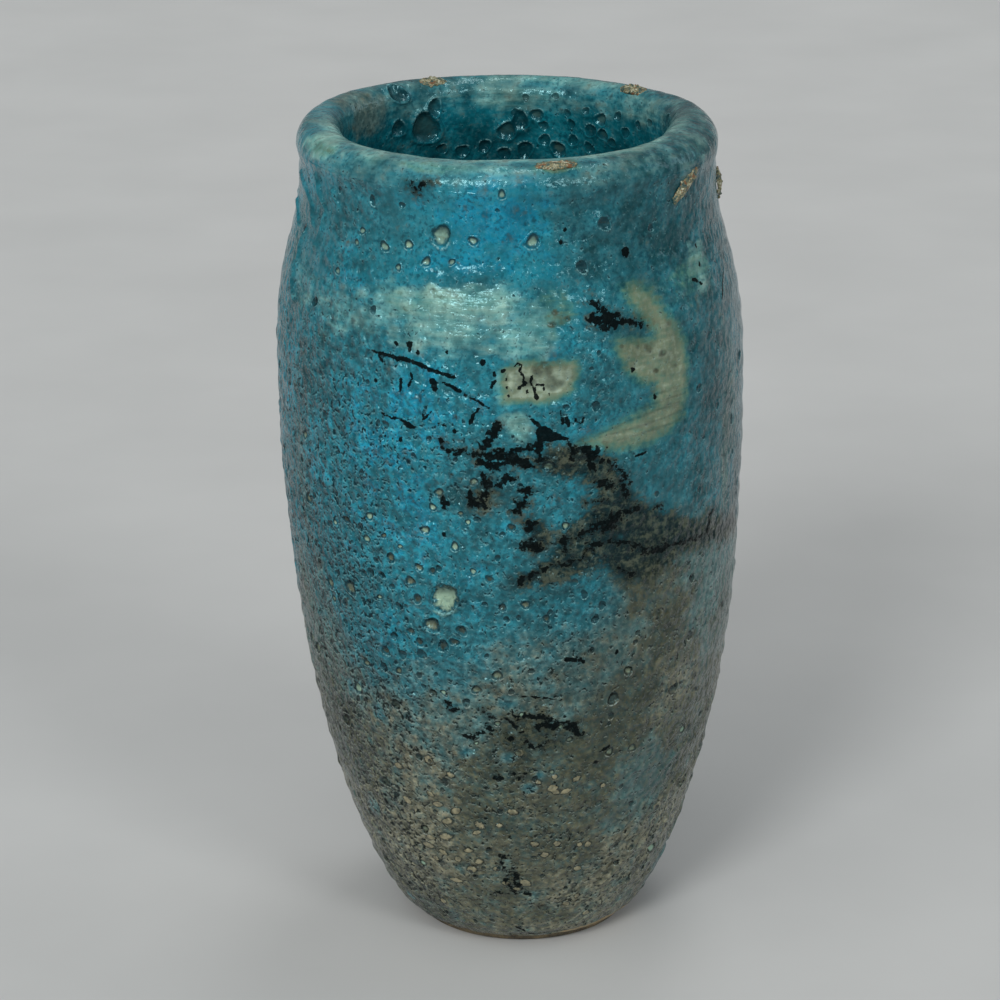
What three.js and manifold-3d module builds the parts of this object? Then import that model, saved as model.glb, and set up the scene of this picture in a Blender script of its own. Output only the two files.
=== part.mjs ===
// A hand-thrown pottery vase: one fired clay body, the thick glaze that is fused onto it as four coats,
// and the crusts of kiln grit that are stuck to the glaze around the lip.
// Millimetres, +Z up. The origin is on the surface that the vase stands on, below the middle of its belly.
// Angles run about the axis, from the front (-Y) towards the right (+X).
import * as THREE from "three";
import { mergeVertices } from "three/addons/utils/BufferGeometryUtils.js";
import Module from "manifold-3d";

const wasm = await Module();
wasm.setup();

// Driving dimensions
const HEIGHT = 230;
const BELLY_HEIGHT = 155; // where the vase is widest
const LEAN = 3; // how far the foot's centre stands to the right of the belly's
const WALL = 8.5; // finished thickness, glaze included
const FLOOR = 11; // height of the finished floor inside, at its middle
const COAT = 1.2; // thickness of the glaze on the wall and the lip
const BOND = 0.1; // gap that keeps two bonded meshes apart
const GRIT_BOND = 0.3; // the same gap under a crust of grit, which is cut to the glaze's curve

// The rolled lip
const LIP_ROUND = 5.4; // radius of its section
const LIP_RADIUS = 51.2; // of the circle through the middle of the roll
const LIP_HEIGHT = HEIGHT - LIP_ROUND;

// The turned foot
const FOOT_RADIUS = 28.6; // outer edge of the flat ring that the vase stands on
const FOOT_RING = 6.6; // width of that ring
const FOOT_RECESS = 2.2; // depth of the underside within the ring
const FOOT_EASE = new THREE.Vector2(1.35, 0.6); // the ring's outer edge is rubbed off, outwards and upwards
const GLAZE_LINE = 3; // height at which the outer coat stops

// The finished outside from the foot to the lip, as radius and height
const OUTSIDE = new THREE.SplineCurve(
  [
    [29.6, 0],
    [32.6, GLAZE_LINE],
    [37.7, 10],
    [46.3, 30],
    [54.7, 60],
    [60.5, 95],
    [63.3, 130],
    [63.9, BELLY_HEIGHT],
    [63.5, 175],
    [61.1, 192],
    [57.4, 206],
    [56.1, 218],
    [LIP_RADIUS + LIP_ROUND, LIP_HEIGHT],
  ].map(([radius, height]) => new THREE.Vector2(radius, height)),
);

// The finished inside: it follows the wall between these heights, then rounds into the floor
const INSIDE_HEIGHTS = [204, 185, BELLY_HEIGHT, 120, 85, 55, 30];
const NECK_INSIDE = INSIDE_HEIGHTS[0];
const BOWL = [new THREE.Vector2(29.5, 20), new THREE.Vector2(25.5, 14.5)];
const BOWL_INTO_CLAY = new THREE.Vector2(0.8, -0.6); // direction from the bowl's surface into the clay
const POOL_RADIUS = 20; // of the glaze that ran down and lies on the floor
const POOL_DEPTH = 2.5;
const FLOOR_DISH = 0.6; // how far the pool's edge stands above its middle

// Facets
const ROUND_SIDES = 40;
const OUTSIDE_STEPS = 18;
const LIP_STEPS = 8;
const INSIDE_STEPS = 14;
const POOL_STEPS = 4;
const GRIT_SIDES = 14;
const GRIT_ROWS = 10;

// Materials
const CLAY = new THREE.MeshStandardMaterial({ color: "#b5a184", roughness: 0.85, metalness: 0 });
const GRIT = new THREE.MeshStandardMaterial({ color: "#a9824f", roughness: 0.7, metalness: 0 });
const OUTER_GLAZE = new THREE.MeshStandardMaterial({ color: "#2f8291", roughness: 0.42, metalness: 0 });
const RIM_GLAZE = new THREE.MeshStandardMaterial({ color: "#3d8596", roughness: 0.3, metalness: 0 });
const INNER_GLAZE = new THREE.MeshStandardMaterial({ color: "#1d6272", roughness: 0.3, metalness: 0 });

// The surfaces of the pot, each as a list of radius and height. Depth is square to the finished surface,
// and goes from it into the wall.

function inWall(along, depth) {
  const point = OUTSIDE.getPoint(along);
  const tangent = OUTSIDE.getTangent(along);
  return new THREE.Vector2(point.x - tangent.y * depth, point.y + tangent.x * depth);
}

// Where along the outside a height is reached, found by halving.
function alongAt(height) {
  const halvings = 40;
  let low = 0;
  let high = 1;
  for (let halving = 0; halving < halvings; halving++) {
    const middle = (low + high) / 2;
    if (OUTSIDE.getPoint(middle).y < height) low = middle;
    else high = middle;
  }
  return low;
}

function outerSkin(depth) {
  const start = alongAt(GLAZE_LINE);
  return Array.from({ length: OUTSIDE_STEPS + 1 }, (_, step) =>
    inWall(THREE.MathUtils.lerp(start, 1, step / OUTSIDE_STEPS), depth),
  );
}

// The lip's half round, from the outside over the top to the inside.
function lipSkin(depth) {
  const round = LIP_ROUND - depth;
  return Array.from({ length: LIP_STEPS + 1 }, (_, step) => {
    const angle = (Math.PI * step) / LIP_STEPS;
    return new THREE.Vector2(LIP_RADIUS + round * Math.cos(angle), LIP_HEIGHT + round * Math.sin(angle));
  });
}

// From below the lip to the edge of the floor.
function innerSkin(depth) {
  const knots = [
    new THREE.Vector2(LIP_RADIUS - LIP_ROUND + depth, LIP_HEIGHT),
    ...INSIDE_HEIGHTS.map((height) => inWall(alongAt(height), WALL - depth)),
    ...BOWL.map((point) => point.clone().addScaledVector(BOWL_INTO_CLAY, depth)),
    new THREE.Vector2(POOL_RADIUS, FLOOR + FLOOR_DISH - depth),
  ];
  return new THREE.SplineCurve(knots).getPoints(INSIDE_STEPS);
}

// The whole pot leans: its axis is over the origin at the belly, right of it below and left of it above.
const LEANING = new THREE.Matrix4()
  .makeTranslation(LEAN, 0, 0)
  .multiply(new THREE.Matrix4().makeShear(0, 0, 0, 0, -LEAN / BELLY_HEIGHT, 0));

// Turns a section about the axis, stands it up along Z and leans it.
function turned(section) {
  const closed = section[0].x > 0 ? [...section, section[0]] : section;
  return new THREE.LatheGeometry(closed, ROUND_SIDES).rotateX(Math.PI / 2).applyMatrix4(LEANING);
}

// The clay body

function clayBody() {
  const bond = COAT + BOND;
  return turned([
    new THREE.Vector2(0, FOOT_RECESS),
    new THREE.Vector2(FOOT_RADIUS - FOOT_RING - FOOT_RECESS / 2, FOOT_RECESS),
    new THREE.Vector2(FOOT_RADIUS - FOOT_RING, 0),
    new THREE.Vector2(FOOT_RADIUS, 0),
    new THREE.Vector2(FOOT_RADIUS, 0).add(FOOT_EASE),
    ...outerSkin(bond),
    ...lipSkin(bond).slice(1, -1),
    ...innerSkin(bond),
    new THREE.Vector2(0, FLOOR - POOL_DEPTH - BOND),
  ]);
}

// The glaze coats

// A coat's section: its skin one way, and the bonded face back the other way.
function coatSection(skin) {
  return [...skin(0), ...skin(COAT).reverse()];
}

// The same section with its first end cut back, clear of the coat that it runs into.
function trimmedSection(skin) {
  const section = coatSection(skin);
  const along = new THREE.Vector2().subVectors(section[1], section[0]).normalize();
  section.at(0).addScaledVector(along, BOND);
  section.at(-1).addScaledVector(along, BOND);
  return section;
}

function floorGlaze() {
  const edge = POOL_RADIUS - BOND * 2;
  const top = Array.from({ length: POOL_STEPS + 1 }, (_, step) => {
    const share = 1 - step / POOL_STEPS;
    return new THREE.Vector2(edge * share, FLOOR + FLOOR_DISH * share * share);
  });
  const middleBelow = new THREE.Vector2(0, FLOOR - POOL_DEPTH);
  const edgeBelow = new THREE.Vector2(edge, FLOOR + FLOOR_DISH - COAT);
  return turned([middleBelow, edgeBelow, ...top]);
}

// The crusts of grit. Each is a flattened lump whose underside follows the glaze. Lie is the slope of the
// surface under it, and tilt turns the lump within that surface.
const ON_WALL = 0;
const ON_LIP = 90;
const CRUSTS = [
  {
    name: "rim_grit_front",
    at: { angle: 14, radius: 52.2, height: HEIGHT },
    size: { length: 11.5, width: 4.5, proud: 1.2 },
    turn: { lie: ON_LIP, tilt: 0 },
  },
  {
    name: "rim_grit_back_left",
    at: { angle: -155, radius: 50, height: HEIGHT },
    size: { length: 9, width: 5, proud: 1.4 },
    turn: { lie: ON_LIP, tilt: 0 },
  },
  {
    name: "rim_grit_back_right",
    at: { angle: 134, radius: 50, height: HEIGHT },
    size: { length: 11, width: 6, proud: 1.4 },
    turn: { lie: ON_LIP, tilt: 0 },
  },
  {
    name: "neck_grit_front",
    at: { angle: 56, radius: 56.2, height: 220.5 },
    size: { length: 15, width: 4, proud: 1.2 },
    turn: { lie: ON_WALL, tilt: -32 },
  },
  {
    name: "neck_grit_side",
    at: { angle: 88, radius: 56.3, height: 213 },
    size: { length: 4, width: 9.5, proud: 1.6 },
    turn: { lie: ON_WALL, tilt: 0 },
  },
];

function solidOf(geometry) {
  const bare = geometry.clone();
  bare.deleteAttribute("normal");
  bare.deleteAttribute("uv");
  const merged = mergeVertices(bare);
  return new wasm.Manifold(
    new wasm.Mesh({
      numProp: 3,
      vertProperties: merged.getAttribute("position").array,
      triVerts: new Uint32Array(merged.index.array),
    }),
  );
}

function geometryOf(solid) {
  const { vertProperties, triVerts } = solid.getMesh();
  const geometry = new THREE.BufferGeometry();
  geometry.setAttribute("position", new THREE.BufferAttribute(vertProperties, 3));
  geometry.setIndex(new THREE.BufferAttribute(triVerts, 1));
  geometry.computeVertexNormals();
  return geometry;
}

// The finished pot, grown by the gap under a crust and filled up to its neck.
function grownPot() {
  return solidOf(
    turned([
      new THREE.Vector2(0, GLAZE_LINE),
      ...outerSkin(-GRIT_BOND),
      ...lipSkin(-GRIT_BOND).slice(1),
      new THREE.Vector2(LIP_RADIUS - LIP_ROUND - GRIT_BOND, NECK_INSIDE),
      new THREE.Vector2(0, NECK_INSIDE),
    ]),
  );
}

function crust({ at, size, turn }, pot) {
  const lump = new THREE.Group();
  lump.position.set(0, -at.radius, at.height);
  lump.rotation.set(-THREE.MathUtils.degToRad(turn.lie), THREE.MathUtils.degToRad(turn.tilt), 0);
  lump.scale.set(size.length / 2, size.proud, size.width / 2);
  const around = new THREE.Group();
  around.rotation.z = THREE.MathUtils.degToRad(at.angle);
  around.add(lump);
  around.updateMatrixWorld(true);
  const whole = new THREE.SphereGeometry(1, GRIT_SIDES, GRIT_ROWS);
  whole.applyMatrix4(lump.matrixWorld).applyMatrix4(LEANING);
  return geometryOf(solidOf(whole).subtract(pot));
}

// The assembly

const vase = new THREE.Group();

function addPiece(name, geometry, material) {
  const mesh = new THREE.Mesh(geometry, material);
  mesh.name = name;
  vase.add(mesh);
}

addPiece("clay_body", clayBody(), CLAY);
addPiece("outer_glaze", turned(coatSection(outerSkin)), OUTER_GLAZE);
addPiece("rim_glaze", turned(trimmedSection(lipSkin)), RIM_GLAZE);
addPiece("inner_glaze", turned(trimmedSection(innerSkin)), INNER_GLAZE);
addPiece("floor_glaze", floorGlaze(), INNER_GLAZE);

const pot = grownPot();
for (const lump of CRUSTS) addPiece(lump.name, crust(lump, pot), GRIT);

export default vase;
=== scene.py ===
"""The looks of a hand-thrown pottery vase: thick turquoise crater glaze on a stoneware body.

The profile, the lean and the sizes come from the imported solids. The glaze is worked out on one grid that
runs up the outside, over the lip and down the inside, so that its coats meet without a seam. Lengths in the
grid are millimetres. Angles run from the front (-Y) towards the right (+X), and arc is the length along the
profile.
"""
import math

import bmesh
import bpy
import numpy as np
from mathutils import Matrix, Vector
from mathutils.bvhtree import BVHTree


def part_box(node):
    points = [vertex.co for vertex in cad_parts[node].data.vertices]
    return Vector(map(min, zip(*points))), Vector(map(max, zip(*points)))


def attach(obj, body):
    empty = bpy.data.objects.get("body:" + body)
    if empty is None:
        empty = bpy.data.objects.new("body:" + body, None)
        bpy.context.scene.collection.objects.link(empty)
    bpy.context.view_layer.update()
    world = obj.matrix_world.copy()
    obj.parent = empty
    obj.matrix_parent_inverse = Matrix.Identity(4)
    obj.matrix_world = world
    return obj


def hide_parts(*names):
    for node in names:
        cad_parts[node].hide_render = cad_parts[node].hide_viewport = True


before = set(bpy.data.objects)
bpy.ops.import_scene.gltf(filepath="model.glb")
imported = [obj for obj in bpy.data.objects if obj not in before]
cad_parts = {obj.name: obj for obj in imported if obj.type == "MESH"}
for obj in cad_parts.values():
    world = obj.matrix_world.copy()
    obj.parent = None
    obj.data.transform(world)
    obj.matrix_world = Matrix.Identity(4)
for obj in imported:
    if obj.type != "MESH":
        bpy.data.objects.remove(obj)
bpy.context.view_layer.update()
MM = 0.001
TURN = 2 * math.pi

# The photograph's camera, in metres, degrees and pixels
PHOTO_SIZE = 1000
CAMERA_AT = np.array((-0.0031, -0.9154, 0.4465))
CAMERA_PITCH = math.radians(19.54)
FOCAL_LENGTH = 3480
SENSOR_WIDTH = 36.0

# The grid of the glaze
COLUMNS = 840
OUTER_STEP = 0.48
INNER_STEP = 0.6
BACK_ROWS = 24  # rows on the hidden face of each coat
CLAY_COLUMNS = 180
CLAY_STEP = 2  # the clay takes every second row
WELD = 0.001
RING_GAP = 0.3  # corners of a solid further apart than this belong to different rings


def smooth(value, low, high):
    """0 below low, 1 above high, and an even rise between them."""
    share = np.clip((value - low) / (high - low), 0, 1)
    return share * share * (3 - 2 * share)


def wrapped(angle):
    """An angle brought into the one turn about the front."""
    return (angle + math.pi) % TURN - math.pi


# The profile of the finished pot, read from the solids

def corners(name):
    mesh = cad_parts[name].data
    found = np.empty(len(mesh.vertices) * 3, np.float32)
    mesh.vertices.foreach_get("co", found)
    return found.reshape(-1, 3).astype(float) / MM


def surface_of(name):
    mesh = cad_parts[name].data
    return BVHTree.FromPolygons([v.co for v in mesh.vertices], [tuple(p.vertices) for p in mesh.polygons])


CLAY_SURFACE = surface_of("clay_body")
COAT = (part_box("outer_glaze")[1].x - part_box("clay_body")[1].x) / MM
LIP_LOW, LIP_HIGH = (np.array(corner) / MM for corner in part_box("rim_glaze"))
LIP_ROUND = LIP_HIGH[2] - LIP_LOW[2]
LIP_RADIUS = (LIP_HIGH[0] - LIP_LOW[0]) / 2 - LIP_ROUND
LIP_X = (LIP_HIGH[0] + LIP_LOW[0]) / 2
FOOT_CORNERS = corners("clay_body")[corners("clay_body")[:, 2] < RING_GAP]
FOOT_X = (FOOT_CORNERS[:, 0].min() + FOOT_CORNERS[:, 0].max()) / 2


def axis_x(height):
    """The pot leans, so the middle of its turned section moves sideways with the height."""
    return FOOT_X + (LIP_X - FOOT_X) * height / LIP_LOW[2]


def section_of(points):
    radius = np.hypot(points[:, 0] - axis_x(points[:, 2]), points[:, 1])
    return np.column_stack([radius, points[:, 2]])


def rings(section, order):
    """One radius and height for each ring of corners, in the given order."""
    section = section[np.argsort(order)]
    breaks = np.flatnonzero(np.diff(np.sort(order)) > RING_GAP) + 1
    return [ring.mean(axis=0) for ring in np.split(section, breaks)]


def skin(name):
    """The section of the corners on a coat's free face."""
    free = [c for c in corners(name) if CLAY_SURFACE.find_nearest(Vector(c * MM))[3] > COAT * MM / 2]
    return section_of(np.array(free))


def profile_knots():
    """The rings of the four coats in one line, and the places in it where each next coat begins."""
    outer = skin("outer_glaze")
    lip = skin("rim_glaze")
    inner = skin("inner_glaze")
    pool = skin("floor_glaze")
    around_lip = np.arctan2(lip[:, 1] - LIP_LOW[2], lip[:, 0] - LIP_RADIUS) * LIP_ROUND
    outer_rings = rings(outer, outer[:, 1])
    lip_rings = rings(lip, around_lip)[1:-1]
    inner_rings = rings(inner, -inner[:, 1])
    pool_rings = rings(pool, -pool[:, 0])[1:]
    lip_start = len(outer_rings) - 1
    inner_start = lip_start + len(lip_rings) + 1
    pool_start = inner_start + len(inner_rings) - 1
    return np.array(outer_rings + lip_rings + inner_rings + pool_rings), (lip_start, inner_start, pool_start)


def spline(places, values, wanted):
    """A natural cubic spline through values at places, read at the wanted places."""
    count = len(places)
    gap = np.diff(places)
    slope = np.diff(values, axis=0) / gap[:, None]
    system = np.eye(count)
    bend = np.zeros_like(values)
    for knot in range(1, count - 1):
        system[knot, knot - 1:knot + 2] = gap[knot - 1], 2 * (gap[knot - 1] + gap[knot]), gap[knot]
        bend[knot] = 6 * (slope[knot] - slope[knot - 1])
    bend = np.linalg.solve(system, bend)
    left = np.clip(np.searchsorted(places, wanted, side="right") - 1, 0, count - 2)
    width = gap[left][:, None]
    before = (wanted - places[left])[:, None]
    after = width - before
    curved = (bend[left] * after ** 3 + bend[left + 1] * before ** 3) / (6 * width)
    start = (values[left] / width - bend[left] * width / 6) * after
    end = (values[left + 1] / width - bend[left + 1] * width / 6) * before
    return curved + start + end


def profile_rows():
    """The profile at every row of the grid, and the rows at which its coats begin."""
    knots, starts = profile_knots()
    places = np.concatenate([[0], np.cumsum(np.hypot(*np.diff(knots, axis=0).T))])
    ends = [0, *(places[start] for start in starts), places[-1]]
    steps = (OUTER_STEP, OUTER_STEP, INNER_STEP, INNER_STEP)
    wanted = [np.zeros(1)]
    begins = []
    for low, high, step in zip(ends, ends[1:], steps):
        begins.append(sum(map(len, wanted)) - 1)
        wanted.append(np.linspace(low, high, round((high - low) / step) + 1)[1:])
    return spline(places, knots, np.concatenate(wanted)), begins


PROFILE, (OUTER_START, LIP_START, INNER_START, POOL_START) = profile_rows()
SECTION = PROFILE[:POOL_START + 1]
RADIUS, HEIGHT = SECTION.T
ARC = np.concatenate([[0], np.cumsum(np.hypot(*np.diff(SECTION, axis=0).T))])
ALONG = np.gradient(SECTION, ARC, axis=0)
ALONG /= np.hypot(*ALONG.T)[:, None]
OUTWARD = np.column_stack([ALONG[:, 1], -ALONG[:, 0]])  # square to the profile, out of the clay
ANGLE = np.linspace(-math.pi, math.pi, COLUMNS, endpoint=False)
SHAPE = (len(ARC), COLUMNS)


def turned(section, angle):
    """A section turned about the leaning axis, as rows and columns of points."""
    radius, height = section[:, :1], section[:, 1:]
    x = axis_x(height) + radius * np.sin(angle)
    return np.stack([x, -radius * np.cos(angle), height + 0 * x], axis=-1)


DEGREES = np.degrees(ANGLE)
FRONT = np.cos(ANGLE)  # 1 at the front, -1 at the back
OUTSIDE = np.arange(len(ARC))[:, None] < LIP_START


def past(row, low, high):
    """Rises from 0 to 1 along the profile, between two lengths past one of its rows."""
    return smooth(ARC, ARC[row] + low, ARC[row] + high)[:, None]


def around(start, full, fading, end):
    """1 between two angles about the vase, with an even rise and fall beside them. All are in degrees."""
    return smooth(DEGREES, start, full) * (1 - smooth(DEGREES, fading, end))


# The lip stands higher at the back, and swells inwards and up towards the front
LIP_TOP = np.argmax(HEIGHT)
BACK_LIFT = 1.0
LIFT_LENGTH = 25  # height of the neck over which the lift comes in
LIFT_SIDES = (-0.5, 0.3)  # it grows between these, where 1 is the back and -1 the front
LIP_SWELL, LIP_RISE = 2.4, 0.7
SWELL_START = (-2, 3)  # lengths past the top of the lip between which the swelling comes in
SWELL_END = 16  # length of the wall inside over which it runs out
SWELL_SIDES = (-0.4, 0.2)  # it grows between these, where 1 is the front and -1 the back
SWELL_RIGHT = 0.3  # how much stronger it is on the right

POINTS = turned(SECTION, ANGLE)
neck = smooth(HEIGHT, LIP_LOW[2] - LIFT_LENGTH, LIP_LOW[2])[:, None]
POINTS[..., 2] += BACK_LIFT * neck * smooth(-FRONT, *LIFT_SIDES)
swell = past(LIP_TOP, *SWELL_START) * (1 - past(INNER_START, 0, SWELL_END))
swell = swell * smooth(FRONT, *SWELL_SIDES) * (1 + SWELL_RIGHT * np.sin(ANGLE))
POINTS[..., 0] -= LIP_SWELL * swell * np.sin(ANGLE)
POINTS[..., 1] += LIP_SWELL * swell * FRONT
POINTS[..., 2] += LIP_RISE * swell
NORMALS = np.stack(
    [
        OUTWARD[:, :1] * np.sin(ANGLE),
        -OUTWARD[:, :1] * FRONT,
        np.repeat(OUTWARD[:, 1:], COLUMNS, axis=1),
    ],
    axis=-1,
)


# Places on the glaze that the photograph shows

def to_pixels(points):
    """Where the photograph shows points of the grid, and their distance from its camera in millimetres."""
    away = points - CAMERA_AT / MM
    depth = away[..., 1] * math.cos(CAMERA_PITCH) - away[..., 2] * math.sin(CAMERA_PITCH)
    rise = away[..., 1] * math.sin(CAMERA_PITCH) + away[..., 2] * math.cos(CAMERA_PITCH)
    x = PHOTO_SIZE / 2 + FOCAL_LENGTH * away[..., 0] / depth
    y = PHOTO_SIZE / 2 - FOCAL_LENGTH * rise / depth
    return x, y, depth


PIXEL_X, PIXEL_Y, DEPTH = to_pixels(POINTS)
FACING = ((CAMERA_AT / MM - POINTS) * NORMALS).sum(axis=-1) > 0
PIXEL_REACH = 3  # a grid point this near to a pixel may be the one that it shows
SAME_WALL = 6  # points whose distances differ by less are on the same wall


def spot(x, y):
    """Angle and arc of the place that a pixel of the photograph shows."""
    off = np.hypot(PIXEL_X - x, PIXEL_Y - y)
    depth = np.where(FACING & (off < max(PIXEL_REACH, off[FACING].min() + 1)), DEPTH, np.inf)
    off[depth > depth.min() + SAME_WALL] = np.inf
    row, column = np.unravel_index(np.argmin(off), SHAPE)
    return ANGLE[column], ARC[row]


def near(angle, arc, reach):
    """The part of the grid within reach of a place, and how far it lies from it across and along."""
    rows = np.arange(*np.searchsorted(ARC, (arc - reach, arc + reach)))
    if not len(rows):
        rows = np.array([np.argmin(np.abs(ARC - arc))])
    middle = round((angle + math.pi) / TURN * COLUMNS)
    half = min(math.ceil(reach / RADIUS[rows].min() / TURN * COLUMNS), COLUMNS // 2 - 1)
    columns = np.arange(middle - half, middle + half + 1) % COLUMNS
    across = RADIUS[rows, None] * wrapped(ANGLE[columns] - angle)
    along = np.repeat(ARC[rows, None] - arc, len(columns), axis=1)
    return np.ix_(rows, columns), across, along


# Noise and the painted fields

LATTICE = 32  # the noise repeats after this many lumps


def lumps(size, seed):
    """Smooth noise from -1 to 1 over the grid, with lumps of about that size."""
    values = np.random.default_rng(seed).uniform(-1, 1, (LATTICE,) * 3)
    cell = POINTS / size
    low = np.floor(cell).astype(int)
    share = smooth(cell - low, 0, 1)
    total = np.zeros(SHAPE)
    for corner in np.ndindex(2, 2, 2):
        weight = np.prod(np.where(corner, share, 1 - share), axis=-1)
        total += weight * values[tuple(np.moveaxis((low + corner) % LATTICE, -1, 0))]
    return total


def mixed(*layers):
    """Noise summed from layers, each with its height, size and seed."""
    return sum(height * lumps(size, seed) for height, size, seed in layers)


relief = np.zeros(SHAPE)  # height of the glaze over the turned surface
FIELDS = (
    "tone",  # dull teal at 0, turquoise at the middle, deep blue at 1
    "film",  # pale shiny film over the blue, partly painted sheen and highlights, on the lip, in the mouth and at the big crater
    "grey",  # dry grey glaze
    "olive",  # its warm, darker side
    "pale",  # windows where the pale ground shows through
    "black",  # black crust
    "smoke",  # smoky dark grey about the crust
    "bowl",  # 1 in the middle of a crater, falling evenly to 0 outside its edge
    "wide",  # width of that crater in millimetres
    "upper",  # 1 on its upper side, -1 on its lower side: painted shade falls on the upper side, a painted highlight on the lower
    "tan",  # colour of its floor, from pale green to black
    "chips",  # pale grains in the grey
    "pitting",  # how many of the finest pits
    "inside",  # the deep teal of the inside
    "bare",  # bare clay along the foot
    "shade",  # darker where positive, lighter where negative: partly the glaze's own tone, partly painted shade and painted light
)
field = {name: np.zeros(SHAPE) for name in FIELDS}
field["tan"] += 0.3  # where no crater says otherwise


def cover(name, where, value):
    field[name][where] = np.maximum(field[name][where], value)


RAGGED = mixed((0.45, 2.6, 21), (0.4, 7, 22))  # how far noise moves the edge of a brush
BRUSH_CORE = 0.2  # share of a brush's size that gets the full value
BRUSH_RIM, RIM_PULL = 0.8, 0.3  # past this share of its size, a brush is pulled in by that much


def brush(name, centre, wide, tall, value):
    """Paints a soft, ragged oval of one value on a field. Its half sizes are in millimetres."""
    where, across, along = near(*centre, max(wide, tall))
    away = np.hypot(across / wide, along / tall)
    pulled = away * (1 + RAGGED[where]) + RIM_PULL * smooth(away, BRUSH_RIM, 1)
    share = 1 - smooth(pulled, BRUSH_CORE, 1)
    field[name][where] += share * (value - field[name][where])


SHORTEST = 1e-9  # keeps a leg without length from dividing by zero


def distance_to_path(across, along, path):
    """Distance of points to a path, and how far along the path the nearest place is, from 0 to 1."""
    best = np.full(across.shape, np.inf)
    share = np.zeros(across.shape)
    for leg, ((x0, y0), (x1, y1)) in enumerate(zip(path, path[1:])):
        step_x, step_y = x1 - x0, y1 - y0
        part = ((across - x0) * step_x + (along - y0) * step_y) / max(step_x ** 2 + step_y ** 2, SHORTEST)
        part = np.clip(part, 0, 1)
        away = np.hypot(across - x0 - part * step_x, along - y0 - part * step_y)
        share = np.where(away < best, (leg + part) / (len(path) - 1), share)
        best = np.minimum(best, away)
    return best, share


def flattened(places):
    """Places as millimetres across and along from the first one, which is also given, with their reach."""
    angle, arc = places[0]
    flat = [(np.interp(a, ARC, RADIUS) * wrapped(t - angle), a - arc) for t, a in places]
    reach = max(math.hypot(*point) for point in flat)
    return angle, arc, flat, reach


def beside(places, widths, margin=0):
    """The part of the grid about a line, how far it lies from the line, and the line's width there."""
    angle, arc, path, reach = flattened(places)
    where, across, along = near(angle, arc, reach + max(widths) + margin)
    away, share = distance_to_path(across, along, path)
    return where, away, np.interp(share, np.linspace(0, 1, len(widths)), widths)


def stroke(name, places, widths, soft, strength=1.0):
    """A line on a field, as wide as the widths along it. At its edge the field has half the strength."""
    where, away, width = beside(places, widths, soft)
    cover(name, where, strength * np.clip(0.5 - (away - width / 2) / (2 * soft), 0, 1))


def area(name, places, soft, strength=1.0):
    """An outlined area on a field, which is half its strength at the outline."""
    angle, arc, outline, reach = flattened(places)
    where, across, along = near(angle, arc, reach + soft)
    ring = outline + outline[:1]
    away, _ = distance_to_path(across, along, ring)
    within = np.zeros(across.shape, bool)
    for (x0, y0), (x1, y1) in zip(ring, ring[1:]):
        if y0 != y1:
            crossing = x0 + (along - y0) * (x1 - x0) / (y1 - y0)
            within ^= ((y0 > along) != (y1 > along)) & (across < crossing)
    cover(name, where, strength * np.clip(0.5 + np.where(within, away, -away) / (2 * soft), 0, 1))


def spots(pixels):
    return [spot(x, y) for x, y in pixels]


def traced(line):
    """Places and widths of a line that is written as pixels with their widths."""
    return [spot(x, y) for x, y, _ in line], np.array([width for *_, width in line])


# Craters, pits and blisters

RIDGE_AT = 1.14  # the raised edge, as a share of the radius
RIDGE_WIDTH = 0.26
CRATER_REACH = 1.6
CRATER_WAVES = ((2, 0.1), (3, 0.08))  # how often and how far the outline of a crater wanders
CRATER_TURN = 0.4  # the most that a long crater is turned, in radians
CLEARANCE = 0.7  # free space about a random crater, as a share of its width
rng = np.random.default_rng(6)
placed = []  # angle, arc and width of the craters that the photograph shows


def is_free(centre, width):
    """Whether a place lies clear of the placed craters."""
    angle, arc = centre
    radius = np.interp(arc, ARC, RADIUS)
    away = (math.hypot(radius * wrapped(angle - a), arc - b) - w / 2 for a, b, w in placed)
    return min(away) > CLEARANCE * width


def crater(centre, width, depth, ridge, tan, stretch=1.0):
    """A burst bubble: a bowl with a raised edge and a floor of its own colour."""
    half = width / 2
    where, across, along = near(*centre, half * CRATER_REACH * max(stretch, 1))
    round_about = np.arctan2(along, across)
    phase = rng.uniform(0, TURN, 3)
    uneven = 1 + sum(
        far * np.sin(times * round_about + start) for (times, far), start in zip(CRATER_WAVES, phase)
    )
    turn = CRATER_TURN * math.sin(phase[-1])
    longways = along * math.cos(turn) - across * math.sin(turn)
    sideways = across * math.cos(turn) + along * math.sin(turn)
    away = np.hypot(sideways / half, longways / (half * stretch)) * uneven
    edge = np.exp(-((away - RIDGE_AT) / RIDGE_WIDTH) ** 2)
    relief[where] += ridge * edge - depth * np.clip(1 - away ** 2, 0, 1)
    cone = 1 - away / CRATER_REACH
    nearer = cone > field["bowl"][where]
    for name, value in (("bowl", cone), ("wide", width), ("upper", np.sin(round_about)), ("tan", tan)):
        field[name][where] = np.where(nearer, value, field[name][where])


def blister(centre, width, height):
    """A bubble that never burst."""
    where, across, along = near(*centre, width / 2)
    relief[where] += height * (1 - smooth(np.hypot(across, along) / (width / 2), 0, 1))


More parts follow.
